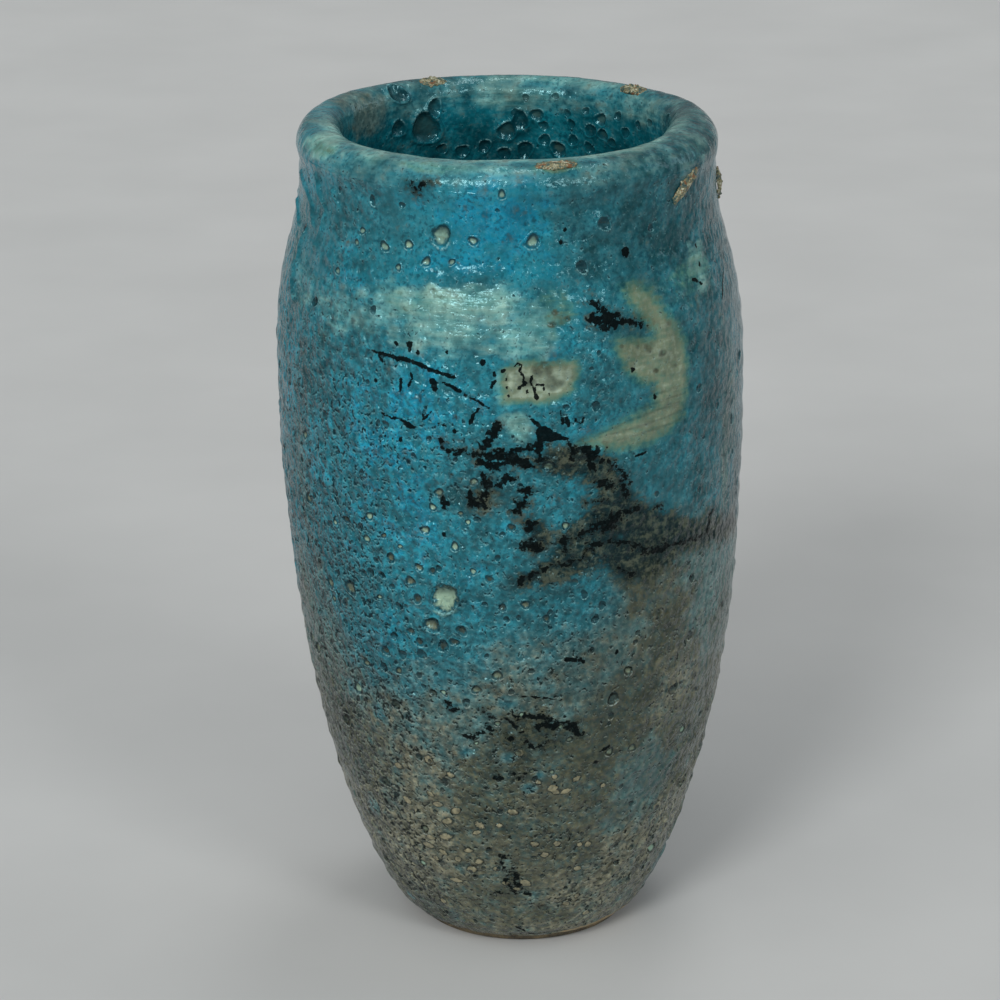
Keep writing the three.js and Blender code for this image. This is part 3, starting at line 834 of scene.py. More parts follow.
STRAY_CHIPS = 26
STRAY_X, STRAY_Y = (405, 610), (770, 915)  # pixels between which the stray chips lie
STRAY_LENGTH, STRAY_TALL = (1.6, 3), (1.2, 2.2)
CHIP_TURN, CHIP_SKEW = 0.6, 0.5
CHIP_CORNERS = 0.75  # how far the corners of a chip are cut off
CHIP_PALE = (0.7, 1)
CHIP_EDGE = 1.6  # where the pale colour of a chip runs out, as a share of its half size
CHIP_HEIGHT, CHIP_SLOPE = 0.25, (0.6, 1.3)


def chip(centre, length, tall):
    """A pale angular grain that stands a little out of the glaze."""
    where, across, along = near(*centre, length)
    turn = rng.uniform(-CHIP_TURN, CHIP_TURN)
    along_chip = across * math.cos(turn) + along * math.sin(turn)
    over_chip = along * math.cos(turn) - across * math.sin(turn)
    skew = rng.uniform(-CHIP_SKEW, CHIP_SKEW)
    flat_side = np.maximum(np.abs(along_chip + skew * over_chip) / length, np.abs(over_chip) / tall)
    cut_side = CHIP_CORNERS * (np.abs(along_chip) / length + np.abs(over_chip) / tall)
    away = np.maximum(flat_side, cut_side) * 2
    cover("chips", where, np.clip(CHIP_EDGE - away, 0, 1) * rng.uniform(*CHIP_PALE))
    relief[where] += CHIP_HEIGHT * (1 - smooth(away, *CHIP_SLOPE))


RUN_HEIGHT = 0.7
FOLD_WIDTHS, FOLD_HEIGHT = (1.2, 2.2, 1.2), 0.45
# Depths, ridges and heights as shares of the width
FRONT_DEPTH, FRONT_RIDGE, FRONT_STRETCH = 0.1, 0.05, (0.85, 1.1)
BIG_STRETCH = 1.15
BIG_LIP_WIDTHS, BIG_LIP_EDGE, BIG_LIP_FILM = (0.6, 1.2, 0.6), 0.7, 0.9
HOLLOW_DEPTH, HOLLOW_RIDGE = 0.2, 0.07
BUBBLE_HEIGHT = 0.26


def dig_front():
    """The runs, swellings, craters and chips that the photograph shows."""
    for line in RUNS:
        raise_line(*traced(line), RUN_HEIGHT)
    for pixels in FOLDS:
        raise_line(spots(pixels), FOLD_WIDTHS, FOLD_HEIGHT)
    for x, y, width, height in SWELLINGS:
        blister(spot(x, y), width, height)
    for x, y, width, tan in (*CRATERS, BIG_CRATER):
        placed.append((*spot(x, y), width))
        big = (x, y) == BIG_CRATER[:2]
        stretch = BIG_STRETCH if big else rng.uniform(*FRONT_STRETCH)
        crater(spot(x, y), width, FRONT_DEPTH * width, FRONT_RIDGE * width, tan, stretch)
    # painted highlight along the lower edge of the big crater, laid as film
    stroke("film", spots(BIG_LIP_HIGHLIGHT), BIG_LIP_WIDTHS, BIG_LIP_EDGE, BIG_LIP_FILM)
    for x, y, width, tan in INSIDE_CRATERS:
        crater(spot(x, y), width, HOLLOW_DEPTH * width, HOLLOW_RIDGE * width, tan)
    for x, y, width in BUBBLES:
        blister(spot(x, y), width, BUBBLE_HEIGHT * width)
    for x, y, length, tall in CHIPS:
        chip(spot(x, y), length, tall)
    for _ in range(STRAY_CHIPS):
        place = spot(rng.uniform(*STRAY_X), rng.uniform(*STRAY_Y))
        chip(place, rng.uniform(*STRAY_LENGTH), rng.uniform(*STRAY_TALL))


PITTED_LEFT, PITTED_BACK = (-150, -110, -45, 5), (110, 140)  # degrees
SMOOTH_RIGHT = (10, 35, 80, 110)
NECK_HEIGHTS, NECK_DENSITY = (150, 205), 0.25
BACK_DENSITY, GREY_DENSITY, OLIVE_LOSS = 0.6, 0.8, 0.5
LEAST_DENSITY, LOW_DENSITY, RIGHT_LOSS = 0.15, 0.42, 0.24
DENSITY_NOISE = (0.15, 14, 8)
LIP_DENSITY = 0.1


def pit_density():
    """How likely a pit is: many on the left and in the grey, few on the right and at the neck."""
    low = 1 - smooth(HEIGHT, *NECK_HEIGHTS)[:, None]
    sides = np.maximum(around(*PITTED_LEFT), BACK_DENSITY * smooth(np.abs(DEGREES), *PITTED_BACK))
    dense = sides * (NECK_DENSITY + (1 - NECK_DENSITY) * low)
    dense = np.maximum(dense, GREY_DENSITY * field["grey"] * (1 - OLIVE_LOSS * field["olive"]))
    least = LEAST_DENSITY + (LOW_DENSITY - RIGHT_LOSS * around(*SMOOTH_RIGHT)) * low
    dense = np.where(OUTSIDE, np.maximum(dense, least) + mixed(DENSITY_NOISE), LIP_DENSITY)
    return np.clip(dense, 0, 1) * (1 - np.clip(field["pale"], 0, 1))


# Random pits, craters, blisters and hollows: tries, widths, and depths and ridges as shares of the width
PIT_TRIES, PIT_WIDTH, PIT_SPREAD = 1100, 1.3, 1.0
PIT_DEPTH, PIT_RIDGE, PIT_STRETCH = 0.11, 0.06, (0.6, 1.6)  # this ridge is in millimetres
CRATER_TRIES, CRATER_WIDTHS = 420, (1.8, 4.2)
CRATER_DEPTH, CRATER_RIDGE = 0.1, 0.045
FRONT_DEGREES, FRONT_SHARE = 75, 0.25  # the front has its placed craters, so it gets few random ones
BLISTER_TRIES, BLISTER_WIDTHS, BLISTER_HEIGHT = 700, (2, 5), 0.09
INSIDE_TRIES, INSIDE_WIDTHS = 260, (2, 6)
INSIDE_ROWS = (INNER_START + 8, len(ARC) - 6)
INSIDE_DEPTH, INSIDE_RIDGE = 0.13, 0.07


def random_place(first=0, last=LIP_START):
    """A row and column of the grid, and the place there."""
    row, column = rng.integers(first, last), rng.integers(COLUMNS)
    return row, column, (ANGLE[column], ARC[row])


def dig_at_random():
    """Pits and craters all over, blisters that never burst, and hollows inside."""
    dense = pit_density()
    field["pitting"] += dense
    for _ in range(PIT_TRIES):
        row, column, place = random_place()
        width = PIT_WIDTH + PIT_SPREAD * rng.random() ** 2
        if is_free(place, width) and rng.random() < dense[row, column] * RADIUS[row] / RADIUS.max():
            crater(place, width, PIT_DEPTH * width, PIT_RIDGE, DARK, rng.uniform(*PIT_STRETCH))
    for _ in range(CRATER_TRIES):
        row, column, place = random_place()
        share = FRONT_SHARE if abs(DEGREES[column]) < FRONT_DEGREES else 1
        width = rng.uniform(*CRATER_WIDTHS)
        if is_free(place, width) and rng.random() < dense[row, column] * share:
            tan = rng.choice((PALE, TAN, BROWN, DARK))
            crater(place, width, CRATER_DEPTH * width, CRATER_RIDGE * width, tan)
    for _ in range(BLISTER_TRIES):
        row, column, place = random_place()
        if rng.random() < dense[row, column]:
            width = rng.uniform(*BLISTER_WIDTHS)
            blister(place, width, BLISTER_HEIGHT * width)
    for _ in range(INSIDE_TRIES):
        _, _, place = random_place(*INSIDE_ROWS)
        width = rng.uniform(*INSIDE_WIDTHS)
        crater(place, width, INSIDE_DEPTH * width, INSIDE_RIDGE * width, DARK)


# Layers of unevenness: height, size and seed
WALL_NOISE = ((0.35, 45, 11), (0.22, 16, 12))
THROWING_HEIGHT, THROWING_PITCH, THROWING_DRIFT = 0.10, 7.5, (3, 40, 13)
BUMPS, LEAST_BUMPS = ((0.24, 4.2, 14), (0.2, 2.1, 15)), 0.25
INSIDE_NOISE = (0.35, 9, 16)
CRUST_HEIGHT, CRUST_LUMPS = 0.12, (1, 2.0, 17)
LOWEST, HIGHEST = 0.8, 1.2  # limits of the relief, as shares of the coat's thickness


def shape_glaze():
    """The slow unevenness of a thrown wall and the bumpy skin of thick glaze."""
    wall = 1 - field["inside"]
    relief[:] += mixed(*WALL_NOISE)
    turns = (ARC[:, None] + mixed(THROWING_DRIFT)) / THROWING_PITCH
    relief[:] += THROWING_HEIGHT * np.sin(TURN * turns) * wall
    bumpy = LEAST_BUMPS + (1 - LEAST_BUMPS) * np.clip(field["pitting"], 0, 1)
    relief[:] += bumpy * mixed(*BUMPS) * wall
    relief[:] += mixed(INSIDE_NOISE) * field["inside"]
    relief[:] += CRUST_HEIGHT * np.clip(field["black"], 0, 1) * (0.5 + mixed(CRUST_LUMPS))
    np.clip(relief, -COAT * LOWEST, COAT * HIGHEST, out=relief)


# Meshes

def new_object(name, data):
    """An object in the scene that holds the given data."""
    made = bpy.data.objects.new(name, data)
    bpy.context.scene.collection.objects.link(made)
    return made


def new_piece(name, points, faces, uvs, normals=None):
    """A mesh object in metres from points in millimetres, with smooth faces."""
    mesh = bpy.data.meshes.new(name)
    mesh.vertices.add(len(points))
    mesh.vertices.foreach_set("co", (points * MM).astype(np.float32).ravel())
    mesh.loops.add(faces.size)
    mesh.loops.foreach_set("vertex_index", faces.astype(np.int32).ravel())
    mesh.polygons.add(len(faces))
    mesh.polygons.foreach_set("loop_start", np.arange(0, faces.size, faces.shape[1], dtype=np.int32))
    mesh.polygons.foreach_set("use_smooth", np.ones(len(faces), bool))
    layer = mesh.uv_layers.new(name="OFBake")
    layer.uv.foreach_set("vector", uvs.astype(np.float32).ravel())
    mesh.update(calc_edges=True)
    if normals is not None:
        mesh.normals_split_custom_set_from_vertices(normals.astype(np.float32))
    return new_object(name, mesh)


def band_faces(rows, columns):
    """Quads of a grid that closes on itself both ways, and the rows and columns of their corners."""
    row, column = (part.ravel() for part in np.mgrid[:rows, :columns])
    corner_rows = np.stack([row, row, row + 1, row + 1], axis=1)
    corner_columns = np.stack([column, column + 1, column + 1, column], axis=1)
    return corner_rows % rows * columns + corner_columns % columns, corner_rows, corner_columns


BACK_STRIP = 0.06  # share of the bake map that the hidden face of a coat gets


def coat_piece(name, rows, material):
    """One coat as a closed shell: the rows of the grid with their relief, and a plain face on the clay."""
    front = SURFACE[rows]
    base = SECTION[rows]
    back_at = np.linspace(len(base) - 1, 0, BACK_ROWS).round().astype(int)
    back = turned((base - OUTWARD[rows] * COAT)[back_at], ANGLE)
    points = np.concatenate([front, back])
    faces, corner_rows, corner_columns = band_faces(len(points), COLUMNS)
    arc = ARC[rows] - ARC[rows][0]
    front_v = arc / arc[-1] * (1 - BACK_STRIP)
    back_v = np.linspace(1 - BACK_STRIP, 1, BACK_ROWS + 2)[1:]
    v = np.concatenate([front_v, back_v])
    uvs = np.stack([corner_columns / COLUMNS, v[corner_rows]], axis=-1)
    normals = np.concatenate([SHADING[rows], -NORMALS[rows][back_at]]).reshape(-1, 3)
    piece = new_piece(name, points.reshape(-1, 3), faces, uvs, normals)
    on_back = np.zeros((BACK_ROWS, COLUMNS))
    for key, values in field.items():
        store(piece, key, np.concatenate([values[rows], on_back]))
    dress(piece, name, material)


def store(piece, key, values):
    """Gives a piece one painted field, with a value at each of its points."""
    attribute = piece.data.attributes.new(key, "FLOAT", "POINT")
    attribute.data.foreach_set("value", values.astype(np.float32).ravel())


def dress(piece, node, material):
    piece.data.materials.append(material)
    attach(piece, "root")
    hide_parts(node)


# Materials

def colour(hexadecimal):
    """Linear colour of a written sRGB one, such as #2a8fb5."""
    parts = [int(hexadecimal[i:i + 2], 16) / 255 for i in (1, 3, 5)]
    return (*(p / 12.92 if p <= 0.04045 else ((p + 0.055) / 1.055) ** 2.4 for p in parts), 1.0)


class Nodes:
    """Short ways to add shader nodes to one new material."""

    def __init__(self, name):
        self.material = bpy.data.materials.new(name)
        self.material.use_nodes = True
        self.tree = self.material.node_tree
        self.shader = self.tree.nodes["Principled BSDF"]
        self.object = self.add("ShaderNodeTexCoord").outputs["Object"]

    def put(self, value, socket):
        if isinstance(value, bpy.types.NodeSocket):
            self.tree.links.new(value, socket)
        else:
            socket.default_value = value

    def add(self, kind, inputs=(), **settings):
        made = self.tree.nodes.new(kind)
        for key, value in settings.items():
            setattr(made, key, value)
        for key, value in dict(inputs).items():
            self.put(value, made.inputs[key])
        return made

    def field(self, name):
        return self.add("ShaderNodeAttribute", attribute_name=name).outputs["Fac"]

    def noise(self, size, detail=2.0, vector=None):
        """Noise around 0.5 with lumps of that many millimetres."""
        inputs = {"Vector": vector or self.object, "Scale": 1 / (size * MM), "Detail": detail}
        return self.add("ShaderNodeTexNoise", inputs).outputs["Fac"]

    def stretched(self, x, y, z):
        return self.add(
            "ShaderNodeMapping", {"Vector": self.object, "Scale": (x, y, z)}
        ).outputs["Vector"]

    def warped(self, size, amount):
        """Places pushed about by noise, so that round cells come out uneven. Both are in millimetres."""
        push = self.add("ShaderNodeTexNoise", {"Vector": self.object, "Scale": 1 / (size * MM)})
        inputs = {0: push.outputs["Color"], 1: (amount * MM,) * 3, 2: self.object}
        return self.add("ShaderNodeVectorMath", inputs, operation="MULTIPLY_ADD").outputs["Vector"]

    def lifted(self, vector, amount):
        """Places from which a pattern looks moved up by that many millimetres."""
        inputs = {0: vector, 1: (0.0, 0.0, -amount * MM)}
        return self.add("ShaderNodeVectorMath", inputs, operation="ADD").outputs["Vector"]

    def flecks(self, size, vector, density):
        """Uneven soft spots of about that size, 1 in their middle. A density near 0 leaves hardly any."""
        return self.rise(self.more(self.noise(size, vector=vector), (density, 0.17)), 0.66, 0.84)

    def math(self, operation, first, second=0.0, third=0.0):
        made = self.add("ShaderNodeMath", operation=operation)
        for value, socket in zip((first, second, third), made.inputs):
            self.put(value, socket)
        return made.outputs["Value"]

    def times(self, value, *others):
        for other in others:
            value = self.math("MULTIPLY", value, other)
        return value

    def less(self, value):
        """What a value leaves of 1."""
        return self.math("SUBTRACT", 1.0, value)

    def more(self, value, *parts):
        """A value plus parts, each times its amount."""
        for part, amount in parts:
            value = self.math("MULTIPLY_ADD", part, amount, value)
        return value

    def broken(self, value, *noises):
        """A value moved up and down by noises around 0.5, each with its amount."""
        for noise, amount in noises:
            value = self.more(value, (self.math("SUBTRACT", noise, 0.5), amount))
        return value

    def rise(self, value, low, high, start=0.0, end=1.0):
        inputs = {"Value": value, "From Min": low, "From Max": high, "To Min": start, "To Max": end}
        return self.add("ShaderNodeMapRange", inputs, interpolation_type="SMOOTHSTEP").outputs["Result"]

    def mix(self, share, first, second, blend="MIX"):
        made = self.add("ShaderNodeMix", data_type="RGBA", blend_type=blend)
        self.put(share, made.inputs["Factor"])
        self.put(first, made.inputs[6])
        self.put(second, made.inputs[7])
        return made.outputs[2]

    def ramp(self, value, *stops):
        made = self.add("ShaderNodeValToRGB", {"Fac": value})
        points = made.color_ramp.elements
        while len(points) < len(stops):
            points.new(0.5)
        for point, (at, written) in zip(points, stops):
            point.position = at
            point.color = colour(written)
        return made.outputs["Color"]

    def finish(self, base, rough, height, distance):
        """The material with its colour, roughness and fine relief. The distance is in millimetres."""
        bump = self.add("ShaderNodeBump", {"Height": height, "Distance": distance * MM, "Strength": 1.0})
        inputs = {"Base Color": base, "Roughness": rough, "Normal": bump.outputs["Normal"]}
        for name, value in inputs.items():
            self.put(value, self.shader.inputs[name])
        return self.material


class Glaze(Nodes):
    """Crater glaze. The painted fields say where its colours lie, and noise breaks up their edges."""

    def __init__(self, name):
        super().__init__(name)
        self.pushed = self.warped(2.0, 1.2)
        self.inside = self.field("inside")
        self.pitting = self.field("pitting")
        self.fine = self.noise(0.55)
        self.grain = self.noise(1.5, 3.0)
        self.mid = self.noise(5.0, 3.0)
        self.drift = self.noise(7.0, 3.0)
        self.skin = self.noise(1.9, 0.6, self.pushed)
        self.streak = self.noise(2.2, 3.0, self.stretched(0.25, 0.25, 1.6))

    def by_pitting(self, start, end):
        """A value for smooth glaze that changes to another for pitted glaze."""
        return self.rise(self.pitting, 0.1, 0.6, start, end)

    def by_grain(self, *colours):
        return self.ramp(self.grain, *zip((0.25, 0.5, 0.75), colours))

    def lay(self, share, over):
        """Lays a colour over what is there."""
        self.base = self.mix(share, self.base, over)

    def paint_blue(self):
        """The blue glaze, its film, which in places is painted sheen, and the teal inside."""
        mottle = self.by_pitting(0.75, 1.0)
        tone = self.broken(
            self.field("tone"),
            (self.grain, self.times(mottle, 0.7)),
            (self.mid, self.times(mottle, 1.1)),
            (self.noise(14.0), 0.5),
        )
        blue = self.ramp(
            tone,
            (0.0, "#15464d"), (0.2, "#26636e"), (0.4, "#287482"),
            (0.6, "#228093"), (0.8, "#1183a1"), (1.0, "#09617b"),
        )
        teal = self.ramp(tone, (0.1, "#0a4450"), (0.5, "#116a78"), (0.9, "#1f8b9c"))
        self.base = self.mix(self.inside, blue, teal)
        film = self.broken(self.field("film"), (self.mid, 0.6), (self.streak, 0.5))
        self.film = self.rise(film, 0.1, 1.0, 0.0, 0.85)
        film_tone = self.broken(self.mid, (self.streak, 0.7))
        self.lay(self.film, self.ramp(film_tone, (0.3, "#6cb0a8"), (0.7, "#a8d2c3")))

    def paint_grey(self):
        """The blue turns steel grey and then warm grey further down."""
        olive = self.field("olive")
        calm = self.rise(olive, 0.4, 1.0, 1.1, 0.5)
        grey = self.broken(self.field("grey"), (self.mid, calm), (self.grain, 0.5))
        self.steel = self.rise(grey, 0.06, 0.66)
        self.lay(self.steel, self.by_grain("#375453", "#53716f", "#728d89"))
        warm = self.times(self.rise(grey, 0.55, 1.0), self.less(self.inside))
        warm_colour = self.by_grain("#605f4d", "#7a7762", "#949079")
        olive_colour = self.by_grain("#323127", "#4a4936", "#636048")
        self.lay(warm, self.mix(olive, warm_colour, olive_colour))

    def paint_windows(self):
        """Windows where the pale ground shows through."""
        pale = self.broken(self.field("pale"), (self.streak, 0.6), (self.grain, 0.7))
        self.pale = self.rise(pale, 0.08, 0.75, 0.0, 0.94)
        ground = self.ramp(
            self.times(pale, 0.75),
            (0.12, "#33746f"), (0.34, "#4c7b6a"), (0.55, "#677f68"), (0.72, "#7c876d"), (0.95, "#a6b6a0"),
        )
        self.lay(self.pale, ground)

    def paint_grains(self):
        """Pale grains as painted glints, dark grains, and a skin that is darker in its hollows and lighter
        on its tops, partly from thicker glaze and partly as painted shade and painted light.
        """
        specks = self.noise(1.1, 3.0, self.pushed)
        blue = self.rise(self.steel, 0.0, 1.0, 1.0, 0.5)
        # painted glints: pale specks on the blue
        light = self.times(self.rise(specks, 0.52, 0.7, 0.0, 0.2), self.by_pitting(0.6, 1.0), blue)
        self.lay(light, colour("#7fb4ba"))
        dark = self.times(
            self.rise(specks, 0.34, 0.48, 0.66, 0.0),
            self.rise(self.drift, 0.38, 0.6, 0.35, 1.0),
            self.less(self.math("MAXIMUM", self.pale, self.times(self.film, 0.7))),
            blue,
        )
        self.lay(dark, colour("#0c4050"))
        # darker hollows and lighter tops of the skin: partly thicker glaze, partly painted shade and light
        hollows = self.broken(0.5, (self.skin, self.rise(self.pitting, 0.1, 0.7, 0.15, 1.3)))
        shade = self.times(
            self.rise(hollows, 0.35, 0.65, 0.7, 1.16),
            self.rise(self.drift, 0.3, 0.7, 0.82, 1.18),
            self.less(self.field("shade")),
        )
        shaded = self.add("ShaderNodeHueSaturation", {"Color": self.base, "Value": shade})
        self.base = shaded.outputs["Color"]

    def paint_flecks(self):
        """Dark flecks with a painted highlight on their lower edge, and pale chips."""
        self.wall_colour = self.mix(self.steel, colour("#05262f"), colour("#0c1211"))
        # the colour of the painted highlights on the lower edges of flecks and crater ridges
        self.painted_highlight_colour = self.mix(self.steel, colour("#8cc4c8"), colour("#a9b5ac"))
        uneven = self.warped(3.0, 1.5)
        density = self.more(self.pitting, (self.steel, 0.1))
        self.fleck = self.flecks(1.1, uneven, density)
        lower = self.flecks(1.1, self.lifted(uneven, -0.4), density)
        # painted highlight: the flecks moved down, less the flecks, leave a pale crescent below each one
        self.lay(self.times(self.math("SUBTRACT", lower, self.fleck), 0.35), self.painted_highlight_colour)
        self.lay(self.times(self.flecks(3.0, self.pushed, self.pitting), 0.55), self.wall_colour)
        self.lay(self.times(self.fleck, 0.97), self.wall_colour)
        chips = self.broken(self.field("chips"), (self.fine, 0.6))
        self.chips = self.rise(chips, 0.5, 0.7)
        self.lay(self.rise(chips, 0.2, 0.5, 0.0, 0.75), self.wall_colour)
        self.lay(self.times(self.chips, 0.9), self.ramp(self.grain, (0.3, "#74715a"), (0.7, "#aaa283")))

    def paint_craters(self):
        """Craters with dark walls, darker still at the top with painted shade, and a painted highlight on
        the lower side of their ridge.
        """
        self.away = self.math("MULTIPLY_ADD", self.field("bowl"), -CRATER_REACH, CRATER_REACH)
        self.wide = self.field("wide")
        self.upper = self.field("upper")
        self.outside = self.rise(self.inside, 0.0, 1.0, 1.0, 0.6)
        ragged = self.rise(self.wide, 3.0, 7.0, 0.3, 0.8)
        self.torn_away = self.broken(self.away, (self.grain, ragged), (self.fine, 0.2))
        self.ridge = self.times(self.rise(self.away, 0.98, 1.1), self.rise(self.away, 1.15, 1.36, 1.0, 0.0))
        self.within = self.rise(self.torn_away, 0.9, 1.08, 1.0, 0.0)
        # painted highlight on the lower side of the ridge
        below = self.rise(self.upper, -0.9, -0.2, 0.7, 0.0)
        self.lay(self.times(self.ridge, self.rise(self.fine, 0.42, 0.58), below), self.painted_highlight_colour)
        # painted shade: the wall is darker on its upper side
        dark = self.rise(self.upper, -0.9, 0.5, 0.5, 0.9)
        self.lay(self.times(self.within, self.outside, dark), self.wall_colour)

    def paint_crater_floors(self):
        """Floors with a colour of their own, darkened with painted shade at the top."""
        tan = self.field("tan")
        floor_colour = self.ramp(
            self.broken(tan, (self.grain, 0.6), (self.fine, 0.3)),
            (0.0, "#98b59e"), (0.25, "#7b9f92"), (0.5, "#6f7864"), (0.8, "#42493f"), (1.0, "#1d3134"),
        )
        floor_colour = self.mix(self.times(self.inside, 0.6), floor_colour, colour("#35676a"))
        # painted shade over the upper part of the floor
        shade = self.rise(self.times(self.upper, self.away), -0.1, 0.6, 0.0, 0.6)
        floor_colour = self.mix(shade, floor_colour, self.wall_colour)
        away = self.more(self.torn_away, (self.rise(self.wide, 4.0, 7.0), -0.22))
        floor = self.rise(away, 0.4, 0.76, 1.0, 0.0)
        self.lay(self.times(floor, self.outside, self.rise(tan, 0.85, 1.0, 1.0, 0.2)), floor_colour)

    def paint_soot(self):
        """Smoke, black crust and bare clay."""
        smoke = self.broken(self.field("smoke"), (self.mid, 1.2), (self.streak, 0.5), (self.grain, 0.9))
        self.smoke = self.rise(smoke, 0.1, 0.75, 0.0, 0.92)
        soot = self.ramp(
            self.broken(self.mid, (self.grain, 1.5), (self.streak, 0.5), (self.fine, 0.5)),
            (0.26, "#030606"), (0.42, "#131814"), (0.56, "#2d3227"), (0.74, "#4a4d3d"),
        )
        self.lay(self.smoke, soot)
        black = self.broken(self.field("black"), (self.grain, 1.5), (self.streak, 0.7), (self.fine, 0.6))
        self.black = self.rise(black, 0.48, 0.6, 0.0, 0.98)
        self.lay(self.black, self.ramp(self.fine, (0.3, "#010304"), (0.75, "#0b1011")))
        self.bare = self.rise(self.broken(self.field("bare"), (self.grain, 1.0)), 0.35, 0.65)
        self.lay(self.bare, self.ramp(self.fine, (0.3, "#8d7b5c"), (0.7, "#bba681")))

    def set_mirroring(self):
        """Bluish mirroring, weak on crust, smoke and flecks."""
        dull = self.math("MAXIMUM", self.black, self.times(self.smoke, 0.5))
        dull = self.math("MAXIMUM", dull, self.times(self.fleck, 0.8))
        self.put(self.rise(dull, 0.0, 1.0, 0.55, 0.1), self.shader.inputs["Specular IOR Level"])
        self.shader.inputs["Specular Tint"].default_value = colour("#a8dfe8")

    def roughness(self):
        """Glassy, most of all inside and in craters, and rougher on bare clay and crust."""
        rough = self.more(
            self.rise(self.steel, 0.0, 1.0, 0.16, 0.14),
            (self.inside, -0.03), (self.within, -0.04), (self.bare, 0.5), (self.black, 0.25),
        )
        return self.math("MAXIMUM", self.broken(rough, (self.grain, 0.15)), 0.08)

    def height(self):
        """Fine relief in millimetres."""
        hollow = self.math("MAXIMUM", self.less(self.times(self.away, self.away)), 0.0)
        wide = self.times(self.wide, self.outside)
        return self.more(
            self.times(self.skin, self.by_pitting(0.35, 1.2), self.rise(self.steel, 0.0, 1.0, 1.0, 1.2)),
            (self.fine, 0.05),
            (self.mid, self.rise(self.pitting, 0.1, 0.5, 0.4, 0.9)),
            (self.times(self.film, self.streak), 0.4),
            (self.fleck, -0.2),
            (self.chips, 0.2),
            (self.black, 0.12),
            (self.times(hollow, wide), -0.06),
            (self.times(self.ridge, wide), 0.03),
        )


def glaze_material(name):
    n = Glaze(name)
    n.paint_blue()
    n.paint_grey()
    n.paint_windows()
    n.paint_grains()
    n.paint_flecks()
    n.paint_craters()
    n.paint_crater_floors()
    n.paint_soot()
    n.set_mirroring()
    return n.finish(n.base, n.roughness(), n.height(), 1.0)


def clay_material():
    """Bare stoneware: tan, matte and slightly gritty."""
    n = Nodes("stoneware")
    mid = n.noise(6.0, 3.0)
    fine = n.noise(0.6, 3.0)
    tan = n.ramp(n.broken(mid, (fine, 0.7)), (0.3, "#3d382d"), (0.5, "#655b47"), (0.75, "#93825f"))
    return n.finish(tan, n.rise(fine, 0.2, 0.8, 0.7, 0.9), n.more(fine, (mid, 0.5)), 0.2)


def grit_material():
    """Kiln grit: tan and cream, with rusty and green spots."""
    n = Nodes("kiln_grit")
    fine = n.noise(0.5)
    grains = n.ramp(
        n.broken(n.noise(1.8), (fine, 0.8)),
        (0.3, "#2c4a4a"), (0.43, "#52685a"), (0.51, "#7f7350"), (0.59, "#999a7c"), (0.74, "#c4c9b4"),
    )
    rust = n.rise(n.noise(1.4, 1.0), 0.56, 0.66, 0.0, 0.8)
    rusty = n.mix(rust, grains, colour("#7a4a20"))
    return n.finish(rusty, n.rise(fine, 0.3, 0.7, 0.3, 0.6), fine, 0.4)


def floor_material():
    n = Nodes("pale_floor")
    n.put(n.ramp(n.noise(90, 4.0), (0.3, "#c9cccd"), (0.7, "#cfd2d3")), n.shader.inputs["Base Color"])
    n.shader.inputs["Roughness"].default_value = 0.6
    return n.material


# The pieces

paint_zones()
paint_marks()
dig_front()
dig_at_random()
shape_glaze()

SURFACE = POINTS + NORMALS * relief[..., None]
ACROSS = np.roll(SURFACE, -1, axis=1) - np.roll(SURFACE, 1, axis=1)
SHADING = np.cross(ACROSS, np.gradient(SURFACE, axis=0))
SHADING /= np.linalg.norm(SHADING, axis=-1, keepdims=True)


COATS = (
    ("outer_glaze", slice(OUTER_START, LIP_START + 1)),
    ("rim_glaze", slice(LIP_START, INNER_START + 1)),
    ("inner_glaze", slice(INNER_START, POOL_START + 1)),
)


def closed_lathe(name, section):
    """A solid turned from a section that starts and ends on the axis."""
    points = turned(section, np.linspace(-math.pi, math.pi, CLAY_COLUMNS, endpoint=False))
    faces, corner_rows, corner_columns = band_faces(len(section), CLAY_COLUMNS)
    inner = corner_rows.max(axis=1) < len(section)
    uvs = np.stack([corner_columns / CLAY_COLUMNS, corner_rows / (len(section) - 1)], axis=-1)
    piece = new_piece(name, points.reshape(-1, 3), faces[inner], uvs[inner])
    welded = bmesh.new()
    welded.from_mesh(piece.data)
    bmesh.ops.remove_doubles(welded, verts=welded.verts, dist=WELD * MM)
    bmesh.ops.recalc_face_normals(welded, faces=welded.faces)
    welded.to_mesh(piece.data)
    welded.free()
    return piece


def add_clay(material):
    """The body under the glaze, which shows only at the foot."""
    low = corners("clay_body")
    low = section_of(low[low[:, 2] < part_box("outer_glaze")[0].z / MM])
    foot = rings(low, low[:, 0])
    wall = (SECTION - OUTWARD * COAT)[::CLAY_STEP]
    bottom = np.array([[0.0, PROFILE[-1, 1] - 2 * COAT]])
    piece = closed_lathe("clay_pot", np.concatenate([foot, wall, bottom]))
    dress(piece, "clay_body", material)


POOL_LOOK = {"inside": 1.0, "tone": 0.3}
POOL_GAP = 0.1  # between the pooled glaze and the clay under it


def add_pool(material):
    """The glaze that lies on the floor inside."""
    top = PROFILE[POOL_START:]
    under = np.array([[0.0, top[-1, 1] - 2 * COAT + POOL_GAP], [top[0, 0], top[0, 1] - COAT]])
    piece = closed_lathe("glaze_pool", np.concatenate([under, top]))
    for key in FIELDS:
        store(piece, key, np.full(len(piece.data.vertices), POOL_LOOK.get(key, 0.0)))
    dress(piece, "floor_glaze", material)


# Grains of a crust, in millimetres
GRAIN_COUNT = 36
GRAIN_VOXEL = 0.22  # fineness of the skin that joins them
GRAIN_LEAST, GRAIN_SPREAD = 0.2, 0.4
GRAIN_SHAPE = (0.7, 1.2)  # how uneven a grain is


